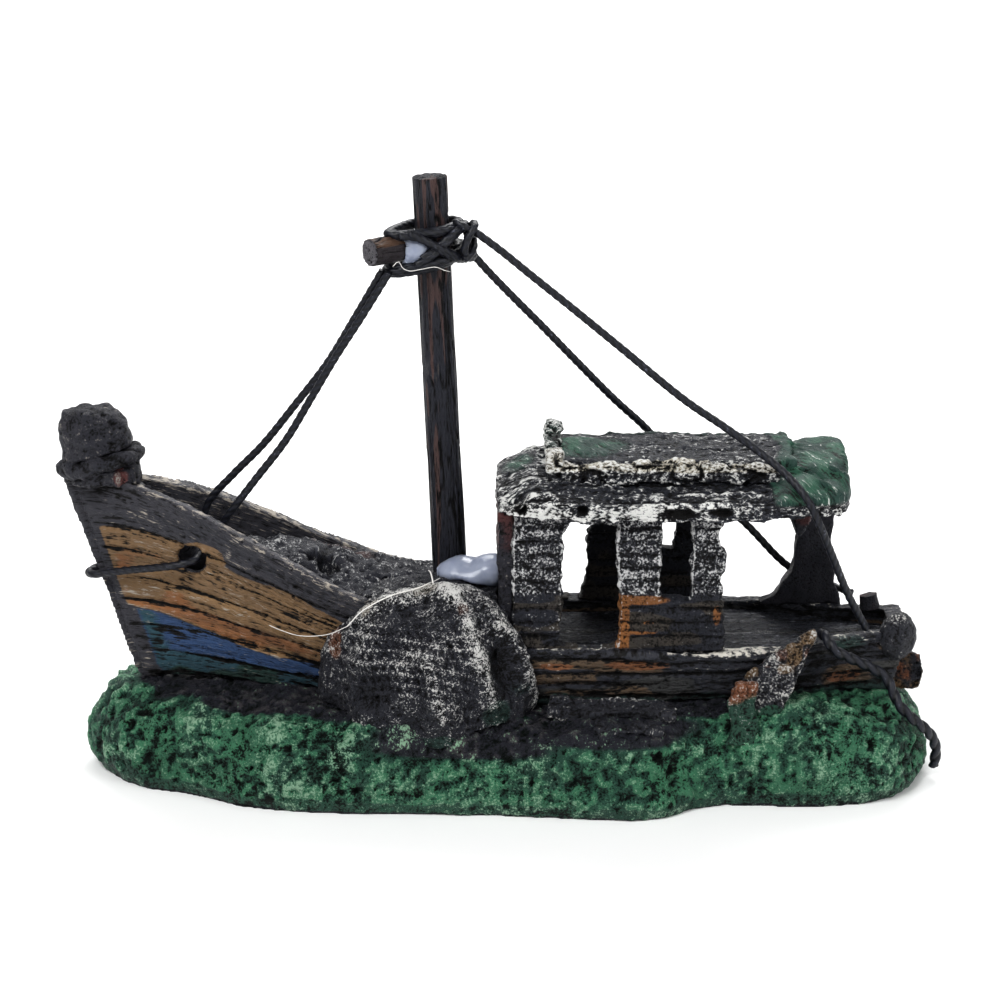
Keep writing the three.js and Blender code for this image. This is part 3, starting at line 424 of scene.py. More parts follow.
def rock_skin(at, out):
    side = smooth(at[:, 2], 1.2, 4.5)
    lumps = 0.9 * ripple(at, 8, 1) + 0.55 * ripple(at, 3.6, 2)
    grains = 0.3 * ripple(at, 1.6, 3) + 0.62 * ripple(at, 0.9, 4)
    holes = 0.8 * pits(at, 3.4, 1.3, 5) + 0.8 * pits(at, 1.9, 0.7, 6) + 0.6 * pits(at, 1.2, 0.4, 7)
    bottom = smooth(-out[:, 2], 0.5, 0.9)
    # Resin that ran together at the foot of the net heap.
    run = 0.5 * (near(at, (-29, -20, 17.5), (7, 7, 5)) + near(at, (3, -23, 17), (7, 7, 5)))
    run = run + near(at, (-21, -27, 15.5), (8, 6, 5)) + near(at, (-9, -28.5, 15), (9, 6, 5))
    run = np.minimum(run, 1)
    push = lumps * (0.35 + 0.65 * side) + grains * (0.3 + 0.7 * side) - 0.9 * holes * side
    push = push * (1 - bottom) + 1.5 * run
    edge = at[:, 2] + 1.6 * ripple(at, 7, 11) + 0.8 * ripple(at, 2, 12)
    inner = np.hypot(at[:, 0] / rock_half_long, at[:, 1] / rock_half_deep)
    inner = inner + 0.05 * ripple(at, 6, 13)
    soil = smooth(edge, rock_top - 1.6, rock_top - 0.4) * (1 - smooth(inner, 0.86, 0.96))
    front = smooth(-at[:, 1], 14, 20) * smooth(at[:, 2], 9.5, 12.5)
    soil = np.maximum(soil, front * near(at, (-6, -28, 14), (26, 14, 7)))
    soil = np.maximum(soil, front * near(at, (20, -28, 16), (40, 12, 4)))
    dust = (
        0.3 * near(at, (-28.6, -27, 12), (4, 9, 6)) + 0.35 * near(at, (-15, -29, 15), (7, 8, 4))
        + 0.3 * run * soil + 0.36 + 0.16 * ripple(at, 6, 8)
    )
    rim = 1 - smooth(at[:, 2] + 0.8 * ripple(at, 5, 14), 1.6, 3.4)
    line = 1 - smooth(at[:, 2], 0.1, 0.7)
    # Lighter green on the raised grains: sponged coat and painted highlight.
    sponge_and_highlight = 0.55 + 0.3 * ripple(at, 11, 15) + 0.9 * grains
    return push, {
        "flow": at, "relief": 0.5 + 0.42 * grains + 0.12 * lumps - 0.7 * holes,
        "soil": soil, "rim": rim, "line": line, "dust": dust * (1 - 0.5 * soil),
        "sponge_and_highlight": sponge_and_highlight * (1 - soil),
        "silt": soil * (0.3 + 0.9 * grains + 0.3 * ripple(at, 5, 16)),
    }


cast("mossy_rock", "rock_base", 0.56, rock_skin, painted(
    "sponged green polyresin",
    [
        ("#28553e", None), ("#46845f", "sponge_and_highlight"), ("#2c5a41", "rim"), ("#232023", "soil"),
        ("#45403f", "silt"), ("#0e0f0d", "line"),
    ],
    "#9cc0a4", wash="#0a130f", shine=0.42, washed=0.44, ragged=0.8, grit=0.42, tooth=0.8,
))

# ---- Bow half --------------------------------------------------------------------------------
# The forward half of the hull is cast with its planks, stem and hawseholes. It has a charcoal
# rail strake, an ochre band and a blue bottom, painted by hand, scratched and washed with black.

# Heights of the bow's foot and of its rail at the stem and at the break, then where the stem
# stands, how far it rakes aft and where the bow half ends.
hull_foot, bow_high, waist_high = 13, 57.5, 34
stem_x, stem_rake, bow_end = -80.7, 14.6, -9.0


def bow_places(at):
    """How far aft along the bow and how far up its side each place is, from 0 to 1."""
    up = np.full(len(at), 0.5)
    # The stem's rake depends on the height and the sheer on the place along, so it is found by
    # going round a few times.
    for _ in range(12):
        stem = stem_x + stem_rake * (1 - up**0.9)
        aft = np.clip((at[:, 0] - stem) / (bow_end - stem), 0, 1.1)
        sheer = waist_high + (bow_high - waist_high) * (1 - smooth(aft**1.1, 0, 1))
        up = np.clip((at[:, 2] - hull_foot) / (sheer - hull_foot), 0, 1.02)
    return aft, up, sheer


def bow_skin(at, out):
    aft, up, sheer = bow_places(at)
    outside = smooth(out[:, 1] * np.sign(at[:, 1]), 0.05, 0.3)
    flow = np.stack([at[:, 0] / 8, at[:, 1] / 3, up * 52], axis=1)
    long = np.stack([at[:, 0], at[:, 1], up * 40 + 0.25 * ripple(at, 9, 21)], axis=1)
    seams = np.zeros(len(at))
    for k, level in enumerate((0.79, 0.68, 0.56, 0.45, 0.34, 0.22, 0.12)):
        away = np.abs(up - level + 0.006 * ripple(at, (14, 9, 9), 30 + k)) * (sheer - hull_foot)
        seams = np.maximum(seams, 1 - smooth(away, 0.12, 0.5))
    lines = ripple(long, (13, 20, 0.8), 22)
    fine = ripple(long, (8, 20, 0.42), 23)
    cracks = 1 - smooth(np.abs(ripple(long, (11, 20, 1.5), 24)), 0.02, 0.16)
    cracks *= smooth(ripple(long, (9, 9, 4), 25), 0.0, 0.4)
    holes = pits(at, 2.4, 0.55, 26) * (0.4 + 0.6 * smooth(up, 0.7, 0.8))
    holes = holes + 0.6 * pits(at, 1.5, 0.38, 27)
    strake = smooth(up, 0.785, 0.80)
    stem = 1 - smooth(aft, 0.03, 0.045)
    wood = (1 - 0.3 * strake) * outside * (1 - 0.7 * stem)
    relief = (0.24 * lines + 0.18 * fine - 0.5 * cracks) * wood
    relief = relief - 0.42 * seams * outside * (1 - stem)
    relief = relief - 0.55 * holes + 0.14 * ripple(at, 1.1, 28) + 0.12 * ripple(at, 0.7, 29)
    groove = (1 - smooth(np.abs(aft - 0.018), 0.002, 0.008)) * outside * smooth(0.97 - up, 0, 0.1)
    push = 0.16 + 0.3 * ripple(at, 7, 31) + relief + 0.25 * strake * outside - 0.5 * groove
    # The hawseholes: broken at the edge on one side, half closed by paint on the other.
    bored = 1 - smooth(np.abs(out[:, 1]), 0.4, 0.8)
    hawse_x, hawse_z = -56.6, 42.4
    push = push + 0.8 * near(at, (hawse_x, -9, hawse_z), (5.5, 5, 5.5)) * ripple(at, 1.5, 39)
    push = push + 2.5 * near(at, (hawse_x, 8, hawse_z), (8, 8, 8)) * bored
    wide = up + 0.03 * ripple(at, (9, 9, 5), 33)
    band = 0.32 + 0.13 * np.exp(-aft / 0.2)
    top = 0.785 - 0.04 * smooth(aft, 0.5, 0.8) + 0.05 * near(at, (-53, -9, 46), (6, 20, 5))
    worn = 1 - smooth(aft + 0.07 * ripple(at, 5, 34), 0.78, 0.9)
    ochre = smooth(wide, band - 0.01, band + 0.01) * (1 - smooth(wide, top - 0.02, top + 0.02))
    ochre *= worn * outside * (1 - stem) * smooth(aft, 0.035, 0.06)
    blue = (1 - smooth(wide, band - 0.012, band)) * smooth(up, 0.09, 0.16)
    blue = blue * worn * outside * smooth(aft, 0.05, 0.1)
    teal = blue * np.maximum(1 - smooth(up, 0.17, 0.28), 0.8 * (1 - smooth(aft, 0.07, 0.2)))
    green = outside * worn * smooth(aft, 0.04, 0.1)
    green = green * (1 - smooth(up + 0.05 * ripple(at, 4, 35), 0.1, 0.19))
    green = np.maximum(green, 0.9 * near(at, (-45, -6, 19.5), (7, 9, 3.6)) * outside)
    rust = ochre * (1 - smooth(wide, band + 0.045, band + 0.10))
    rust = rust * (0.55 + 0.45 * ripple(long, (14, 20, 2), 36))
    rust = np.maximum(0.7 * rust, ochre * 0.6 * smooth(ripple(long, (10, 20, 3.4), 37), 0.2, 0.6))
    edge = smooth(at[:, 2] - sheer, -1.1, -0.3)
    dust = 0.24 + 0.25 * edge + 0.12 * ripple(long, (8, 9, 3), 38) - 0.12 * blue
    dust = dust + 0.1 * (1 - outside) * (at[:, 1] > 0) * smooth(at[:, 2] - sheer, -6, -1)
    return push, {
        "flow": flow, "relief": 0.50 + 0.85 * relief, "ochre": ochre, "blue": blue, "teal": teal,
        "green": green, "rust": rust, "dust": dust,
    }


cast("bow_planking", "bow_hull", 0.36, bow_skin, painted(
    "painted plank polyresin",
    [
        ("#353233", None), ("#80643f", "ochre"), ("#8a5b2d", "rust"), ("#2b4468", "blue"),
        ("#25474f", "teal"), ("#1c3b2b", "green"),
    ],
    "#a9a196", shine=0.4, washed=0.42, ragged=0.9,
))

# ---- Stem head -------------------------------------------------------------------------------
# A worn timber post stands on the stem, with a rope seized round its neck. Both are part of the
# casting: charcoal polyresin, pitted by bubbles, brushed with a little grey.


def head_skin(at, out):
    lower = 1 - smooth(at[:, 2], 61, 64)
    checks = ripple(at, (0.9, 0.9, 7), 41) + 0.5 * ripple(at, (0.5, 0.5, 4), 42)
    holes = pits(at, 1.9, 0.75, 43) + 0.6 * pits(at, 1.2, 0.42, 44)
    relief = 0.26 * checks * (0.35 + 0.65 * lower) + 0.28 * ripple(at, 1.1, 45) - 0.5 * holes
    push = 0.12 + 0.55 * ripple(at, 4.2, 46) + 0.36 * ripple(at, 2.2, 47) + relief
    return push, {
        "flow": at, "relief": 0.5 + 0.8 * relief, "dust": 0.26 + 0.14 * ripple(at, 4, 48),
        "rust": near(at, (-70.0, -3.0, 57.5), (2.6, 3, 3)),
    }


# The middle of the post along the ship, and its half widths along and across.
post_x, post_long, post_wide = -73.9, 6.9, 4.8


def seizing_skin(at, out):
    round_post = np.arctan2(at[:, 1] / post_wide, (at[:, 0] - post_x) / post_long)
    level = bow_high + 2.4 + 0.25 * (at[:, 0] - post_x)
    reach = np.hypot((at[:, 0] - post_x) / post_long, at[:, 1] / post_wide) - 1
    across_rope = np.arctan2(at[:, 2] - level, reach * 5.5)
    strand = np.abs(np.cos(4.5 * round_post + across_rope))
    relief = 0.5 * strand**0.7 - 0.3 + 0.2 * ripple(at, 0.9, 51) - 0.35 * pits(at, 1.5, 0.5, 52)
    relief = relief + 0.3 * ripple(at, 2.4, 53)
    return relief + 0.1, {
        "flow": at, "relief": 0.42 + 0.5 * relief, "dust": 0.15 + 0 * reach, "rust": 0 * reach,
    }


charcoal = painted(
    "charcoal polyresin", [("#292627", None), ("#5f3024", "rust")], "#8a8580", shine=0.42
)
cast("stem_post", "stem_head", 0.3, head_skin, charcoal)
cast("stem_rope_ring", "stem_lashing", 0.24, seizing_skin, charcoal)

# ---- Rubble in the hold ----------------------------------------------------------------------
# Broken timber and silt fill the hold up to the mast: coarse, stringy polyresin, nearly black,
# with the brush dragged over its highest threads.


def rubble_skin(at, out):
    threads = 1 - np.abs(ripple(at, (3.2, 1.2, 1.6), 61)) * 2.2
    threads = np.maximum(threads, 1 - np.abs(ripple(at, (1.4, 2.6, 1.6), 62)) * 2.2)
    upper = smooth(out[:, 2], -0.2, 0.3)
    relief = 0.65 * np.clip(threads, -0.4, 1) + 0.3 * ripple(at, 0.9, 63)
    relief = relief - 0.6 * pits(at, 2.4, 0.9, 64)
    push = (1.0 * ripple(at, 5, 65) + 0.7 * ripple(at, 2.4, 66) + relief) * (0.15 + 0.85 * upper)
    # Threads of resin half cover the mouth that the bubbles come out of.
    mouth = near(at, (-32.8, -3.2, 42), (7, 7, 5))
    push = push + 0.15 + mouth * (0.9 + 1.1 * ripple(at, 1.8, 68))
    return push, {
        "flow": at, "relief": 0.40 + 0.42 * relief,
        "rust": 0.8 * near(at, (-28, 8, 40), (14, 5, 5)),
        "dust": 0.3 + 0.14 * ripple(at, 5, 67) + 0.4 * near(at, (-46, -6, 43), (7, 5, 5)),
    }


cast("hold_silt", "hold_rubble", 0.34, rubble_skin, painted(
    "black timber polyresin", [("#1e1b1b", None), ("#43271b", "rust")], "#b9b9b9",
    shine=0.42, washed=0.42,
))

# ---- Net heap --------------------------------------------------------------------------------
# A fishing net thrown over the broken hull, cast in one with it. It hangs in deep folds from a
# crest; rows of mesh show where it sags, and cream has been brushed along the folds.


def along(at, points, wide):
    """1 on a line through points, falling softly to 0 at some distance from it."""
    away = np.full(len(at), 1e9)
    for start, end in zip(points, points[1:]):
        start, run = np.array(start), np.subtract(end, start)
        share = np.clip((at - start) @ run / run.dot(run), 0, 1)
        away = np.minimum(away, np.linalg.norm(at - start - share[:, None] * run, axis=1))
    return 1 - smooth(away, 0, wide)


crest = [
    (-27.9, -16.6, 30.1), (-24.2, -16.1, 34.8), (-18.6, -15.7, 37.6), (-12.3, -13.5, 38.8),
    (-7.6, -16, 37.7),
]
front_fold = [
    (-9, -15.5, 37.9), (-5.7, -20.4, 34.4), (-3.9, -22.7, 30.3), (-2.1, -23.7, 25.8),
    (-0.8, -24.3, 21),
]
side_fold = [
    (-5, -13.5, 38), (-0.3, -18.1, 34.5), (2.5, -19.8, 30.3), (4.7, -19.1, 25.1),
    (6.2, -16.9, 19),
]
low_fold = [(-12.4, -25.8, 28.6), (-11, -28, 23), (-10, -29, 19)]
shelf = [(-27, -20, 27), (-22.1, -24.2, 27.4), (-16, -26, 28.2), (-10.2, -25.3, 30)]


def net_skin(at, out):
    folds = (
        along(at, crest, 3.2)
        + 1.8 * along(at, front_fold, 4.2) * (1 + 0.3 * ripple(at, 3, 82))
        + 1.5 * along(at, side_fold, 4.0) + 1.3 * along(at, low_fold, 3.4)
        + 1.2 * along(at, shelf, 2.6)
    )
    hollows = (
        2.4 * near(at, (1.2, -21.6, 26.5), (3.6, 5, 8))
        + 1.7 * near(at, (-23.5, -25, 23), (7, 5, 5))
        + 0.6 * near(at, (-13.5, -27, 25.5), (4, 4, 6))
        + 0.5 * near(at, (-16, -22.5, 33), (9, 5, 4))
    )
    # The mesh: rows that sag between the folds, crossed by twines, about 2 mm apart.
    sag = at[:, 2] + 0.014 * (at[:, 0] + 18) ** 2
    rows = np.cos(2 * math.pi * (sag + 0.4 * ripple(at, 4, 71)) / 1.9)
    twines = np.cos(2 * math.pi * (at[:, 0] + 0.35 * at[:, 2] + 0.5 * ripple(at, 5, 72)) / 1.7)
    meshy = smooth(at[:, 0], -31, -27) * (1 - smooth(at[:, 0], -6, -2))
    meshy = meshy * smooth(at[:, 2], 20, 23) * (1 - smooth(at[:, 2], 32, 36))
    net = 0.34 * np.maximum(rows, 0.55 * twines) * meshy
    grains = 0.2 * ripple(at, 1.2, 73) + 0.3 * ripple(at, 0.7, 74)
    holes = pits(at, 1.9, 0.62, 75) + 0.6 * pits(at, 1.3, 0.4, 76)
    fade = 1 - smooth(at[:, 1], -9, -5)
    relief = net + grains * (1 - 0.5 * meshy) - 0.55 * holes
    # The heap's foot runs into the rock under it.
    foot = 1 - smooth(at[:, 2] + 1.0 * ripple(at, 4, 79), 17.0, 21.5)
    push = 0.1 + (folds - hollows) * fade + 0.45 * ripple(at, 4.5, 77) + relief - 0.4 * foot
    dust = (
        0.42 + 0.34 * along(at, crest[1:], 4.2) + 0.3 * along(at, front_fold, 3.0)
        + 0.26 * along(at, side_fold, 3.0) + 0.24 * along(at, low_fold, 1.8)
        - 0.34 * hollows / 2.6 + 0.16 * ripple(at, 4, 78)
    )
    green = 0.75 * near(at, (0, -24, 18.5), (4.5, 6, 5)) + 0.5 * near(at, (3.5, -20, 22), (4, 5, 3))
    green = np.maximum(green, 0.9 * (1 - smooth(at[:, 2] + ripple(at, 3, 80), 14.6, 16)))
    cream = along(at, crest[1:], 3.4) * smooth(ripple(at, 2.4, 81), 0.0, 0.5)
    return push, {
        "flow": at, "relief": 0.44 + 0.5 * relief - 0.1 * hollows, "green": green,
        "dust": dust - 0.06 * foot, "cream": 0.72 * cream,
        "rust": 0.85 * near(at, (-29.5, -16, 29.5), (2.6, 4, 5))
        + 0.5 * near(at, (-6.5, -18.5, 36), (2.4, 3, 3)),
    }


cast("thrown_net", "net_heap", 0.3, net_skin, painted(
    "brushed net polyresin",
    [("#222021", None), ("#1b3526", "green"), ("#6f4526", "rust"), ("#a8a091", "cream")],
    "#dad9d6", shine=0.42, washed=0.42, ragged=0.9, grit=0.34,
))

# ---- Stern half ------------------------------------------------------------------------------
# The after half of the hull with its deck. The planks are cast into it; they are painted black,
# ochre and olive in turn, and the gunwale is brushed nearly white where feet would wear it.


def stern_skin(at, out):
    side = smooth(np.abs(out[:, 1]) + 0.6 * np.abs(out[:, 0]), 0.3, 0.6)
    level = at[:, 2] + 0.35 * ripple(at, (16, 9, 9), 91)
    seams = np.zeros(len(at))
    for k, height in enumerate((26.0, 23.6, 21.1, 18.6)):
        away = np.abs(level - height + 0.2 * ripple(at, (8, 9, 9), 92 + k))
        seams = np.maximum(seams, 1 - smooth(away, 0.15, 0.55))
    lines = ripple(at, (12, 12, 0.75), 97) + 0.6 * ripple(at, (7, 7, 0.4), 98)
    top = smooth(out[:, 2], 0.5, 0.8)
    boards = ripple(at, (12, 0.8, 9), 99)
    cracks = 1 - smooth(np.abs(ripple(at, (9, 20, 1.6), 100)), 0.02, 0.2)
    holes = pits(at, 2.2, 0.6, 101)
    relief = side * (0.26 * lines - 0.34 * seams - 0.35 * cracks) + 0.25 * top * boards
    relief = relief - 0.4 * holes + 0.1 * ripple(at, 1, 102)
    board = along(at, [(21, -17.2, 28.4), (28, -17.8, 27), (36, -18.2, 24.6)], 2.6)
    push = 0.18 + 0.4 * ripple(at, (9, 6, 4), 103) + relief + 1.1 * board
    outer = side * smooth(26.4 - at[:, 2], -0.5, 0.8)
    streak = ripple(at, (13, 20, 1.6), 104)
    ochre = outer * smooth(streak, 0.05, 0.35) * 0.9
    ochre = np.maximum(ochre, near(at, (65, -9.5, 21.2), (6.5, 6, 2.6)) * outer)
    rust = outer * (
        near(at, (26, -17, 25.3), (9, 5, 1.5)) + 0.9 * near(at, (65, -9.5, 20.5), (5.5, 6, 1.8))
        + 0.7 * near(at, (11, -17, 25), (6, 4, 1.2))
    )
    olive = outer * smooth(ripple(at, (15, 20, 2.2), 105), 0.0, 0.4) * 0.8
    green = outer * (1 - smooth(at[:, 2] + ripple(at, 4, 106), 17.5, 20))
    green = np.maximum(green, 0.6 * near(at, (66, -11, 27), (8, 5, 3)))
    trodden = 0.6 + 1.2 * near(at, (42, -15, 28), (14, 6, 4))
    dust = 0.2 + 0.34 * smooth(at[:, 2], 26.2, 27.4) * trodden + 0.12 * ripple(at, (9, 9, 2), 107)
    return push, {
        "flow": at / (3, 3, 1), "relief": 0.48 + 0.6 * relief, "ochre": ochre, "rust": rust,
        "olive": olive, "green": green, "dust": dust,
    }


cast("stern_planking", "stern_hull", 0.36, stern_skin, painted(
    "streaked plank polyresin",
    [
        ("#211f1f", None), ("#34322a", "olive"), ("#554329", "ochre"), ("#754a22", "rust"),
        ("#1b3326", "green"),
    ],
    "#cbc7be", shine=0.38, washed=0.44, ragged=0.9,
))


def deck_skin(at, out):
    board = 6.8
    boards = ripple(at, (16, 0.7, 5), 111) + 0.5 * ripple(at, (9, 0.4, 5), 112)
    seam = 1 - smooth(np.abs((at[:, 1] / board + 0.5) % 1 - 0.5) * board, 0.15, 0.5)
    relief = 0.24 * boards - 0.4 * seam - 0.3 * pits(at, 2.4, 0.6, 113)
    return 0.12 + relief + 0.15 * ripple(at, 5, 114), {
        "flow": at / (4, 1, 1), "relief": 0.44 + 0.7 * relief,
        "dust": 0.34 + 0.1 * ripple(at, (9, 4, 4), 115),
    }


cast("deck_planks", "stern_deck", 0.34, deck_skin, painted(
    "black deck polyresin", [("#171617", None)], "#a9aab2", shine=0.32, washed=0.44,
))

# ---- Cabin walls -----------------------------------------------------------------------------
# What is left of the wheelhouse: thin cast boards with broken edges. They are black, stippled
# with white above, and ochre, olive and rust below the sills.


def wall_skin(at, out):
    boards = np.zeros(len(at))
    for k, height in enumerate((30.4, 33.2, 36.0, 41.2, 43.7, 46.2, 48.7, 51.3)):
        away = np.abs(at[:, 2] - height + 0.3 * ripple(at, (5, 5, 9), 121 + k))
        boards = np.maximum(boards, 1 - smooth(away, 0.15, 0.55))
    low = 1 - smooth(at[:, 2] + 0.5 * ripple(at, 4, 137), 38.0, 39.2)
    lines = ripple(at, (8, 8, 0.7), 129) * low + ripple(at, (2.4, 2.4, 0.9), 130) * (1 - low)
    holes = pits(at, 1.7, 0.6, 131) + 0.5 * pits(at, 1.1, 0.36, 132)
    chips = 0.4 * ripple(at, 3.4, 133) + 0.35 * ripple(at, 1.3, 134)
    face = smooth(np.abs(out[:, 1]), 0.5, 0.8)
    relief = 0.24 * lines - 0.4 * boards * face * (0.75 + 0.25 * low) - 0.5 * holes
    relief = relief + 0.2 * ripple(at, 0.8, 135)
    push = 0.12 + relief + chips * (0.3 + 0.7 * (1 - face))
    panel = low * smooth(at[:, 0], 21.5, 22.5) * smooth(-at[:, 1], 12, 13)
    rust = panel * (
        1 - smooth(at[:, 0], 24.0, 25.0) + 0.8 * near(at, (40.6, -15.6, 34.5), (1.2, 3, 3))
        + 0.9 * near(at, (27, -15.6, 37.6), (8, 3, 1.6))
        + near(at, (27, -15.6, 32), (5, 3, 2)) * smooth(ripple(at, (4, 3, 1), 139), -0.1, 0.4)
    )
    ochre = low * smooth(ripple(at, (7, 7, 1.4), 136), -0.1, 0.3) * 0.75
    shade = smooth(out[:, 0], 0.5, 0.9)
    shaded_inside = 1 - smooth(out[:, 1] * np.sign(at[:, 1]), -0.6, -0.2)
    turned = np.abs(out[:, 0])
    edge = smooth(turned, 0.2, 0.4) * (1 - smooth(turned, 0.8, 0.95)) * (1 - shaded_inside)
    # Less brush on faces turned aft and on the walls' inner faces: painted shade.
    dust = 0.6 - 0.36 * low + 0.1 * ripple(at, 3, 138) - 0.3 * shade - 0.38 * shaded_inside + 0.4 * edge
    return push, {
        "flow": at, "relief": 0.46 + 0.5 * relief, "rust": rust, "ochre": ochre, "dust": dust,
    }


stippled = painted(
    "stippled board polyresin", [("#1d1b1c", None), ("#3d3526", "ochre"), ("#8c5a22", "rust")],
    "#d2d2d2", shine=0.4, washed=0.44,
)
for name, node in [
    ("near_wheelhouse_boards", "near_cabin_wall"), ("far_wheelhouse_boards", "far_cabin_wall"),
]:
    cast(name, node, 0.28, wall_skin, stippled)


def rusty_skin(at, out):
    flakes = ripple(at, 2.2, 141) + 0.6 * ripple(at, 1.1, 142)
    relief = 0.35 * flakes + 0.2 * ripple(at, 0.7, 143) - 0.4 * pits(at, 1.8, 0.6, 144)
    upper = smooth(at[:, 2], 37, 40)
    rust = 0.45 + 0.5 * ripple(at, 3, 145)
    return 0.1 + relief + 0.3 * ripple(at, 4, 146), {
        "flow": at, "relief": 0.46 + 0.5 * relief, "rust": rust * (0.5 + 0.5 * upper),
        "dust": 0.22 + 0.12 * ripple(at, 3, 147),
    }


def dark_skin(at, out):
    lines = ripple(at, (1.1, 1.1, 8), 151)
    relief = 0.16 * lines + 0.14 * ripple(at, 1, 152) - 0.3 * pits(at, 2.2, 0.5, 153)
    aft = smooth(out[:, 0], 0.2, 0.7) * smooth(at[:, 2], 30, 33)
    return 0.1 + relief + 0.35 * ripple(at, 4, 154), {
        "flow": at, "relief": 0.5 + 0.6 * relief, "rust": aft * (0.6 + 0.5 * ripple(at, 3, 155)),
        "dust": 0.06 + 0.1 * ripple(at, 3, 156),
    }


flaked = painted(
    "flaking red polyresin", [("#1f1b1b", None), ("#4c2418", "rust")], "#948f88",
    shine=0.42, washed=0.44,
)
for name, node, skin, voxel, slot in [
    ("wheelhouse_front", "front_cabin_wall", rusty_skin, 0.3, "rust"),
    ("hanging_board", "roof_shard", rusty_skin, 0.22, "rust"),
    ("after_post", "rear_cabin_post", dark_skin, 0.3, "charcoal"),
]:
    cast(name, node, voxel, skin, flaked)

# ---- Wheelhouse roof -------------------------------------------------------------------------
# The sagging roof with a raised middle and a broken coaming, cast in one. Black planks under
# dragged white; green weed, combed into the resin, hangs at its after end and behind the coaming.


def weed_at(at):
    aft = smooth(at[:, 0] + 2.2 * ripple(at, 5, 161), 49.5, 53) * smooth(at[:, 2], 55.4, 57)
    middle = near(at, (15, 1, 62.5), (15, 11, 5))
    middle = middle * smooth(at[:, 2] + ripple(at, 3, 162), 60.6, 61.6)
    fore = 0.8 * near(at, (4, 0, 59.5), (5, 8, 3))
    back = smooth(at[:, 1], 8, 12) * smooth(at[:, 0], 8, 14) * 0.6
    return np.clip(np.maximum.reduce([aft, middle, fore, back]), 0, 1)


def roof_skin(at, out):
    weed = weed_at(at)
    top = smooth(out[:, 2], -0.1, 0.4)
    lines = ripple(at, (14, 1.0, 1.0), 163) + 0.5 * ripple(at, (8, 0.55, 0.6), 164)
    seam = 1 - smooth(np.abs((at[:, 1] / 3.1) % 1 - 0.5) * 3.1, 0.1, 0.4)
    bent = np.stack([at[:, 0] + 0.7 * at[:, 1], at[:, 1] / 3.5, at[:, 2] / 2], axis=1)
    bent = bent + 0.7 * ripple(at, 4, 165)[:, None]
    strings = 1 - 2.4 * np.abs(ripple(bent, 1.5, 166))
    holes = pits(at, 1.8, 0.6, 167) + 0.5 * pits(at, 1.1, 0.36, 168)
    bores = near(at, (4.3, -18, 55.4), (1.5, 3, 1.5)) + near(at, (15.7, -18, 55.4), (1.3, 3, 1.3))
    torn = near(at, (33, -18, 54.6), (5, 3, 1.4)) + near(at, (41, -18, 55), (3, 3, 1.2))
    planked = (0.2 * lines - 0.35 * seam) * top
    stone = 0.28 * ripple(at, 1.2, 169) + 0.24 * ripple(at, 0.75, 170) - 0.5 * holes
    relief = (planked + stone) * (1 - weed) + 0.42 * np.clip(strings, -0.5, 1) * weed
    relief = relief - 1.5 * bores - 0.9 * torn
    sag = 0.35 * ripple(at, (8, 6, 6), 171) + 0.3 * ripple(at, 3.2, 172)
    # The forward edge and its corners have slumped.
    for side in (-1, 1):
        sag = sag - 1.2 * near(at, (1.5, 16 * side, 57), (6, 5, 3))
    drop = 2.6 * (1 - smooth(at[:, 0], -0.5, 7)) * smooth(at[:, 2], 54.5, 58.5)
    rail = smooth(-out[:, 1], 0.4, 0.8) * (1 - smooth(at[:, 0], 44, 50))
    forward = 1 - smooth(at[:, 0], 6, 16)
    low = smooth(-out[:, 2], 0.3, 0.7)
    dust = (
        0.42 + 0.22 * forward + 0.15 * (1 - smooth(at[:, 2], 56, 58)) + 0.1 * rail
        + 0.16 * ripple(at, (9, 2, 2), 173)
        - 0.6 * low
    )
    push = out * (0.12 + relief + sag + 0.35 * weed)[:, None] - drop[:, None] * (0, 0, 1)
    return push, {
        "flow": np.where(weed[:, None] > 0.5, bent, at / (2, 1, 1)),
        "relief": 0.46 + 0.5 * relief, "green": weed, "dust": dust * (1 - 0.55 * weed),
        "lime": weed * (0.4 + 0.5 * ripple(at, 2.4, 174)),
        "cream": 0.3 * smooth(ripple(at, (6, 3, 3), 175), 0.2, 0.5),
    }


def coaming_skin(at, out):
    weed = smooth(at[:, 1], -7, -3) * 0.9
    blocks = ripple(at, (3.4, 2.4, 2.0), 181)
    holes = pits(at, 2.1, 0.85, 182) + 0.6 * pits(at, 1.2, 0.4, 183)
    gaps = 1 - smooth(np.abs(ripple(at, (4.4, 3.4, 2.4), 187)), 0.04, 0.2)
    relief = 0.22 * ripple(at, (3, 1, 0.8), 184) + 0.26 * ripple(at, 0.8, 185)
    relief = relief - 0.8 * (holes + gaps)
    upper = smooth(at[:, 2], 60.0, 61.2)
    return 0.12 + relief + 0.45 * blocks, {
        "flow": at / (1.6, 1, 1), "relief": 0.46 + 0.45 * relief, "green": weed,
        "lime": 0.4 * weed, "cream": upper * (1 - weed) * (0.65 + 0.4 * ripple(at, (5, 3, 3), 186)),
        "dust": 0.54 + 0.16 * upper + 0.1 * blocks,
    }


dragged = painted(
    "dragged white polyresin",
    [("#1b1a1b", None), ("#b3ab98", "cream"), ("#1c3d2c", "green"), ("#2b5a40", "lime")],
    "#e2e2df", shine=0.4, washed=0.44, ragged=0.9,
)
cast("wheelhouse_roof", "cabin_roof", 0.3, roof_skin, dragged)
cast("roof_edge", "roof_coaming", 0.3, coaming_skin, dragged)

# ---- Loose timber and stern fittings ---------------------------------------------------------
# Broken boards lean on the hull and lie on the rock; a quarter block, a bitt and what is left of
# the rudder are at the stern. All are lumps of the casting, picked out in white, ochre and rust.


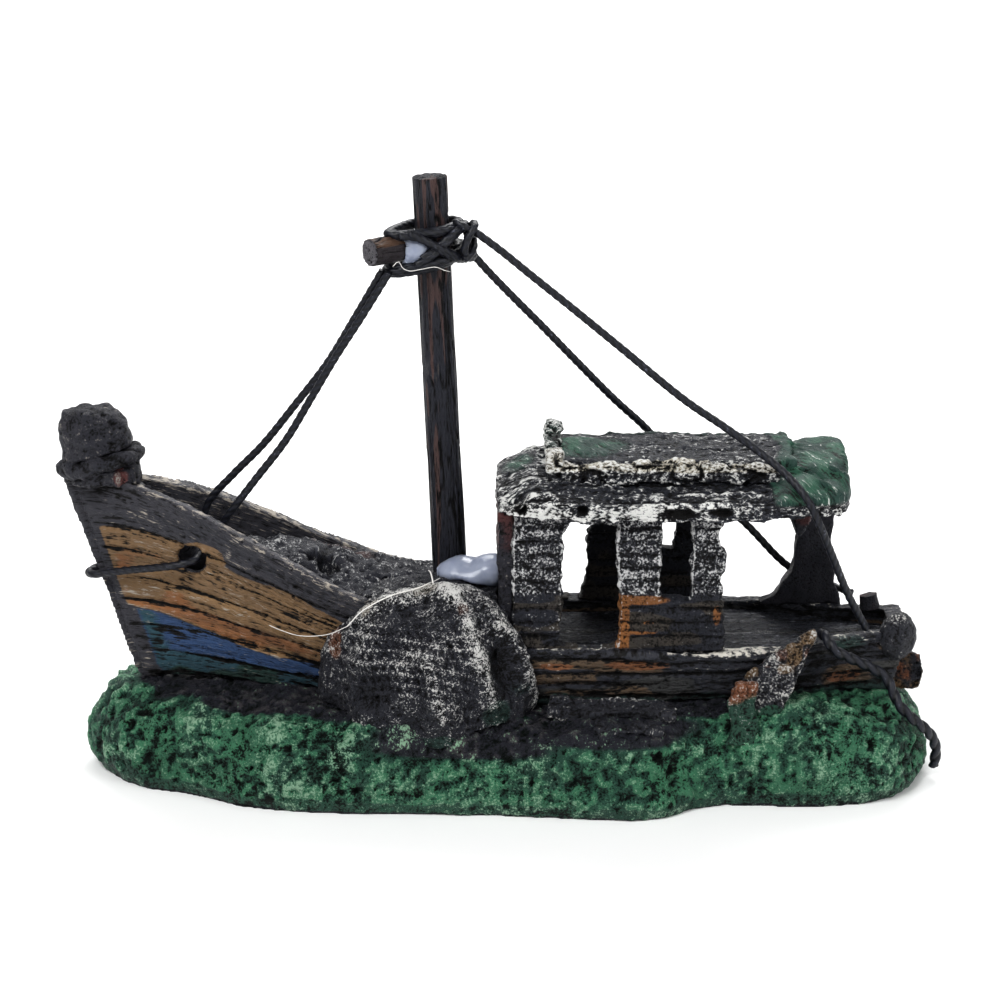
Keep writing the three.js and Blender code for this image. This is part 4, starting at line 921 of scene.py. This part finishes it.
def timber_skin(at, out):
    relief = 0.26 * ripple(at, 1.1, 191) + 0.24 * ripple(at, 0.7, 192)
    relief = relief - 0.45 * pits(at, 1.8, 0.6, 193)
    foot = 1 - smooth(at[:, 2] + ripple(at, 3, 194), 17.4, 19.4)
    warm = smooth(at[:, 2] + ripple(at, 3, 195), 22, 24)
    return 0.1 + relief + 0.3 * ripple(at, 3, 196), {
        "flow": at, "relief": 0.46 + 0.5 * relief, "green": foot,
        "ochre": 0.75 * warm * smooth(ripple(at, 2.5, 197), -0.2, 0.3),
        "rust": 0.5 * warm * smooth(ripple(at, 2.5, 198), 0.1, 0.4),
        "dust": 0.52 - 0.4 * foot + 0.08 * ripple(at, 3, 199),
    }


def stub_skin(at, out):
    push, marks = timber_skin(at, out)
    top = smooth(at[:, 2] + ripple(at, 2, 201), 19.6, 21.6)
    marks.update({"green": 1 - top, "ochre": top, "rust": 0.7 * top, "dust": 0.3 + 0.15 * top})
    return push, marks


def flat_skin(at, out):
    push, marks = timber_skin(at, out)
    line = ripple(at, (12, 0.7, 0.8), 202)
    marks.update({
        "relief": marks["relief"] + 0.16 * line, "green": 0 * line, "ochre": 0 * line,
        "rust": 0 * line, "dust": 0.28 + 0.2 * smooth(line, 0.2, 0.6),
    })
    return push + 0.16 * line, marks


def worn_skin(at, out):
    push, marks = timber_skin(at, out)
    top = smooth(out[:, 2], 0.3, 0.8)
    zero = 0 * top
    marks.update({"green": zero, "ochre": zero, "rust": zero, "dust": 0.26 + 0.3 * top})
    return 0.6 * push, marks


def rudder_skin(at, out):
    push, marks = timber_skin(at, out)
    zero = np.zeros(len(at))
    marks.update({
        "green": zero, "ochre": 0.4 + 0.4 * ripple(at, 2, 203),
        "rust": 0.1 + 0.6 * ripple(at, 2, 204), "dust": zero + 0.2,
    })
    return push - 0.6, marks


picked = painted(
    "picked-out timber polyresin",
    [("#282626", None), ("#204830", "green"), ("#6d5533", "ochre"), ("#7d4a20", "rust")],
    "#c9c8c4", shine=0.42, washed=0.44, ragged=0.9,
)
for name, node, skin, slot in [
    ("leaning_board", "leaning_plank", timber_skin, "whitewash"),
    ("board_stub", "plank_stub", stub_skin, "rust"),
    ("fallen_board_long", "fallen_plank_1", flat_skin, "charcoal"),
    ("fallen_board_short", "fallen_plank_2", flat_skin, "charcoal"),
    ("quarter_block", "near_quarter_block", worn_skin, "charcoal"),
    ("rudder_stump", "rudder", rudder_skin, "rust"),
]:
    cast(name, node, 0.26, skin, picked)


def bitt_skin(at, out):
    relief = 0.12 * ripple(at, 1.4, 211) - 0.2 * pits(at, 2, 0.4, 212)
    return 0.5 * ripple(at, 3.5, 213) + relief, {
        "flow": at, "relief": 0.55 + 0.5 * relief, "rust": 0.35 + 0.4 * ripple(at, 3, 214),
        "dust": 0 * relief,
    }


cast("stern_bitt", "far_bitt", 0.26, bitt_skin, flaked)

# ---- Mast and yard ---------------------------------------------------------------------------
# A 6 mm hardwood dowel stained nearly black, its grain raised by the water stain, glued into a
# socket in the rubble. The yard is a sawn length of bamboo with its fibres showing at the end.


def grain_along(at, axis, wide):
    """Ripples that are fine across an axis and long along it."""
    run = (at @ axis)[:, None] * axis
    return (at - run) / wide + run / 11


def rounded(at, out, start, axis, radius):
    """How far each point on the side of a bar has to go to make it truly round."""
    off = at - np.array(start)
    off = off - (off @ axis)[:, None] * axis
    away = np.linalg.norm(off, axis=1)
    side = smooth(np.abs(out @ axis), 0.75, 0.5)
    return np.where(away > 0.8 * radius, radius - away, 0) * side


# The mast's foot, how far it rakes forward over its length, and its radius.
mast_foot_x, mast_foot_z, mast_rake, mast_long, mast_radius = -7.954, 18.7, 4.2, 94.8, 3.15
mast_axis = np.array([-mast_rake, 0, mast_long]) / math.hypot(mast_rake, mast_long)


def mast_skin(at, out):
    lines = ripple(grain_along(at, mast_axis, 0.5), 1, 221)
    fine = ripple(grain_along(at, mast_axis, 0.26), 1, 222)
    cracks = 1 - smooth(np.abs(ripple(grain_along(at, mast_axis, 1.1), 1, 223)), 0.02, 0.14)
    eye = (-11.5, -3, 78)
    knot = near(at, eye, (1.8, 2, 3.2)) - 0.9 * near(at, eye, (1.0, 2, 1.9))
    relief = 0.13 * lines + 0.09 * fine - 0.3 * cracks + 0.5 * knot
    streaks = smooth(ripple(grain_along(at, mast_axis, 0.7), 1, 226), 0.1, 0.6)
    even = rounded(at, out, (mast_foot_x, 0, mast_foot_z), mast_axis, mast_radius)
    return even + relief + 0.14 * ripple(at, (30, 30, 16), 225), {
        "flow": grain_along(at, mast_axis, 1), "relief": 0.5 + 0.8 * relief,
        "warm": streaks * smooth(at[:, 0] - at[:, 1], -17, -9),
        "dust": 0.12 + 0.1 * ripple(at, 5, 227),
    }


# The yard's height, radius and turn from straight out, and where the mast is at that height.
peg_high, peg_radius, peg_turn = 101.2, 2.5, 0.906
peg_axis = np.array([-math.sin(peg_turn), -math.cos(peg_turn), 0])
mast_x = mast_foot_x - mast_rake * (peg_high - mast_foot_z) / mast_long


def peg_skin(at, out):
    lines = ripple(grain_along(at, peg_axis, 0.42), 1, 231)
    end = smooth(out @ peg_axis, 0.6, 0.9)
    dots = pits(at, 1.1, 0.5, 232) * end
    relief = 0.14 * lines * (1 - end) - 0.45 * dots + 0.05 * ripple(at, 0.5, 233)
    notch = near(at, (-21.4, -8.4, 103.4), (1.6, 1.6, 1.2))
    even = rounded(at, out, (mast_x, 0, peg_high), peg_axis, peg_radius)
    return even + relief - 0.7 * notch, {
        "flow": grain_along(at, peg_axis, 1) * (1 - end[:, None]) + at * end[:, None],
        "relief": 0.5 + 0.9 * relief,
        "warm": (1 - end) * smooth(ripple(grain_along(at, peg_axis, 0.9), 1, 234), -0.1, 0.4),
        "dust": 0.2 * smooth(at[:, 2], 101.5, 103.2), "sawn": end,
    }


cast("mast_dowel", "mast", 0.24, mast_skin, painted(
    "black stained dowel", [("#1b1819", None), ("#4b352b", "warm")], "#5a544f",
    wash="#060506", shine=0.42, washed=0.46, grit=0.3,
))
cast("yard_bamboo", "yard_peg", 0.24, peg_skin, painted(
    "washed bamboo", [("#2b2019", None), ("#5c4127", "warm"), ("#6b676a", "sawn")], "#8d8884",
    wash="#0c0908", washed=0.46, shine=0.45, grit=0.3,
))

# ---- Mast lashing ----------------------------------------------------------------------------
# The rigging cord is wound round yard and mast, five turns above the yard and five below, then
# crossed behind the yard and knotted at the back of the mast.


def winding(turns, low, high, rise, start, swell):
    """Points of cord wound round the yard and the mast from one height to another."""
    points = []
    steps = 12
    for k in range(turns * steps + 1):
        share = k / (turns * steps)
        turn = start + 2 * math.pi * k / steps
        wide = 1 + swell * math.sin(math.pi * share)
        a = (mast_radius + 4.1) * math.cos(turn) * wide + 2.0
        # The turns draw together where they pass over the yard.
        b = (mast_radius + 1.15) * math.sin(turn) * wide * (1 - 0.4 * max(0, math.cos(turn)))
        z = low + (high - low) * share + rise * math.cos(turn)
        points.append((
            mast_x + peg_axis[0] * a - peg_axis[1] * b, peg_axis[1] * a + peg_axis[0] * b, z,
        ))
    return points


def joined(name, parts):
    """Makes one piece of several."""
    bpy.ops.object.select_all(action="DESELECT")
    for part in parts:
        part.select_set(True)
    bpy.context.view_layer.objects.active = parts[0]
    bpy.ops.object.join()
    piece = bpy.context.object
    piece.name = piece.data.name = name
    return piece


wound = [
    winding(3, peg_high + 2.5, peg_high + 3.3, -0.4, 2.6, 0.06),
    winding(2, peg_high + 2.9, peg_high + 3.1, -0.2, 0.4, 0.10),
    winding(3, peg_high - 1.9, peg_high - 3.5, -1.2, 2.4, 0.10),
    winding(2, peg_high - 2.6, peg_high - 2.2, -1.6, 0.2, 0.16),
    # Across the front of the mast, from the upper turns at the yard to the lower ones behind.
    [
        (-17.5, -8.6, 104.2), (-14.2, -7.4, 103.6), (-11.2, -6.4, 102.0), (-8.4, -4.6, 100.2),
        (-6.3, -1.2, 98.6),
    ],
    [
        (-15.8, -8.4, 104.6), (-12.8, -6.6, 102.8), (-10.0, -5.6, 100.8), (-7.6, -3.4, 99.0),
        (-6.0, 0.2, 98.0),
    ],
    [
        (-14.6, -7.0, 98.4), (-11.6, -6.0, 100.0), (-9.0, -4.8, 102.2), (-6.8, -2.4, 103.8),
        (-5.6, 0.8, 104.6),
    ],
    [
        (-13.6, -6.6, 99.6), (-10.8, -5.4, 101.4), (-8.4, -4.4, 103.2), (-6.4, -1.8, 104.4),
        (-5.8, 1.4, 103.6),
    ],
    # The knot behind the mast, where both backstays leave it.
    [
        (-6.6, 1.5, 98.4), (-5.2, 2.6, 99.8), (-4.4, 1.4, 101.6), (-4.6, -0.8, 103.2),
        (-5.8, -2.4, 104.6), (-7.4, -1.6, 105.2), (-6.8, 0.6, 104.6), (-5.2, 1.8, 103.2),
        (-4.2, 0.6, 101.4), (-4.4, -1.6, 99.8), (-5.8, -3.0, 98.6),
    ],
    [
        (-5.4, -3.0, 102.4), (-4.0, -1.6, 104.4), (-4.2, 0.8, 104.6), (-5.4, 2.4, 102.8),
        (-5.0, 2.8, 100.4), (-4.2, 1.2, 98.8), (-4.8, -1.4, 98.6), (-5.8, -3.2, 100.4),
        (-5.0, -3.0, 103.2),
    ],
]
turns = [
    laid_cord("turn", route(points, 0.22)[0], cord_thick / 1000, sides=12) for points in wound
]
lashing = joined("yard_lashing", turns)
lashing.data.materials.append(waxed_cotton)
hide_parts("mast_lashing")
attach(lashing, "root")

# ---- Hot glue --------------------------------------------------------------------------------
# Clear hot-melt glue holds the mast in its socket and the yard to the mast. It sets milky and
# glossy, in soft lumps, and draws out into threads as the gun is pulled away.


def glue_skin(at, out):
    fuller = 1.2 * near(at, (-9, -3.5, 40), (6, 6, 6)) + 0.8 * near(at, (-1, -6, 41), (4, 5, 4))
    return 0.28 + fuller + 0.3 * ripple(at, 6, 241) + 0.06 * ripple(at, 2.2, 242), {"flow": at}


# Ethylene vinyl acetate: cloudy, a little blue, wet-looking.
hot_melt, tree = blank("hot-melt glue")
place = add(tree, "Attribute", attribute_name="flow").outputs["Vector"]
cloud = noise(tree, place, 0.35, 3)
swirl = add(tree, "Bump", {"Height": cloud, "Strength": 0.3, "Distance": 0.0008})
surface(tree, {
    "Base Color": mixed(tree, cloud, linear("#6c7489"), linear("#a6acba")),
    "Roughness": 0.24, "IOR": 1.48, "Normal": swirl.outputs[0], "Specular IOR Level": 0.4,
    "Subsurface Weight": 0.6, "Subsurface Radius": (1.0, 1.0, 1.2), "Subsurface Scale": 0.002,
})
for name, node in [("mast_foot_bead", "mast_foot_glue"), ("yard_bead", "yard_glue")]:
    cast(name, node, 0.3, glue_skin, hot_melt)

# The drawn threads: from the bead over the net to the bow planks, and one round the yard.
threads = [
    laid_cord("thread", route(points, 0.5)[0], thick / 1000, sides=8, notch=0.0)
    for points, thick in [
        ([
            (-10.5, -9.2, 39.6), (-12.2, -12.8, 39.9), (-14.8, -15.2, 39.6),
            (-19.6, -16.6, 38.6), (-24.6, -17.4, 36.0), (-27.4, -17.9, 33.2),
        ], 0.24),
        ([
            (-27.4, -17.9, 33.2), (-31.0, -17.2, 31.4), (-36.0, -15.8, 30.6),
            (-40.0, -13.2, 30.8), (-42.2, -11.6, 31.2),
        ], 0.15),
        ([
            (-12.6, -8.6, 40.9), (-12.2, -10.6, 41.2), (-11.8, -12.6, 40.4),
            (-11.6, -13.8, 39.6),
        ], 0.3),
        ([
            (-18.6, -10.4, 99.0), (-17.6, -10.2, 99.9), (-16.8, -9.9, 98.6),
            (-15.6, -9.5, 98.0), (-13.4, -8.4, 98.1), (-11.0, -7.2, 98.2), (-9.4, -6.2, 97.4),
            (-8.4, -5.2, 96.9),
        ], 0.15),
    ]
]
threads = joined("glue_threads", threads)
drawn, tree = blank("drawn glue thread")
surface(tree, {
    "Base Color": linear("#d6d4d0"), "Roughness": 0.25, "IOR": 1.48, "Coat Weight": 0.3,
})
threads.data.materials.append(drawn)
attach(threads, "root")

# ---- Air line --------------------------------------------------------------------------------
# Under the rock a soft tube runs from a nipple at the back to an air stone, which breaks the air
# into the bubbles that rise through the hold. The nipple and the stone are pushed into the tube.


def stone_skin(at, out):
    grains = 0.16 * ripple(at, 0.9, 251) + 0.1 * ripple(at, 0.6, 252)
    return grains - 0.1 * pits(at, 1.1, 0.4, 253), {
        "flow": at, "relief": 0.5 + 1.5 * grains, "dust": 0.45 + 0.1 * ripple(at, 3, 254),
    }


cast("air_stone_grains", "air_stone", 0.3, stone_skin, painted(
    "sintered mineral grains", [("#5f6a78", None)], "#aeb6bf", wash="#2c333c", shine=0.8, grit=0.5,
))


def moulded(name, low, high, scale, rough):
    """A clear or cloudy plastic whose colour and gloss drift a little over the surface."""
    plastic, tree = blank(name)
    place = add(tree, "TexCoord").outputs["Object"]
    drift = noise(tree, place, scale, 4)
    marks = add(tree, "Bump", {"Height": drift, "Strength": 0.2, "Distance": 0.0001})
    surface(tree, {
        "Base Color": mixed(tree, drift, linear(low), linear(high)),
        "Roughness": spread(tree, drift, 0, 1, rough - 0.1, rough + 0.15),
        "Normal": marks.outputs[0],
        "Subsurface Weight": 0.3, "Subsurface Radius": (1.0, 1.0, 1.0), "Subsurface Scale": 0.001,
    })
    return plastic


# Injection-moulded polypropylene, faintly milky; and extruded soft PVC tube, softer and duller.
for name, node, plastic in [
    ("hose_nipple", "air_nipple", moulded("milky polypropylene", "#b9bcb8", "#dcdedb", 600, 0.35)),
    ("inner_air_tube", "air_tube", moulded("soft PVC tube", "#a9b0ae", "#c6cbc9", 300, 0.5)),
]:
    piece = casting(name, node, 0.2)
    piece.data.materials.append(plastic)
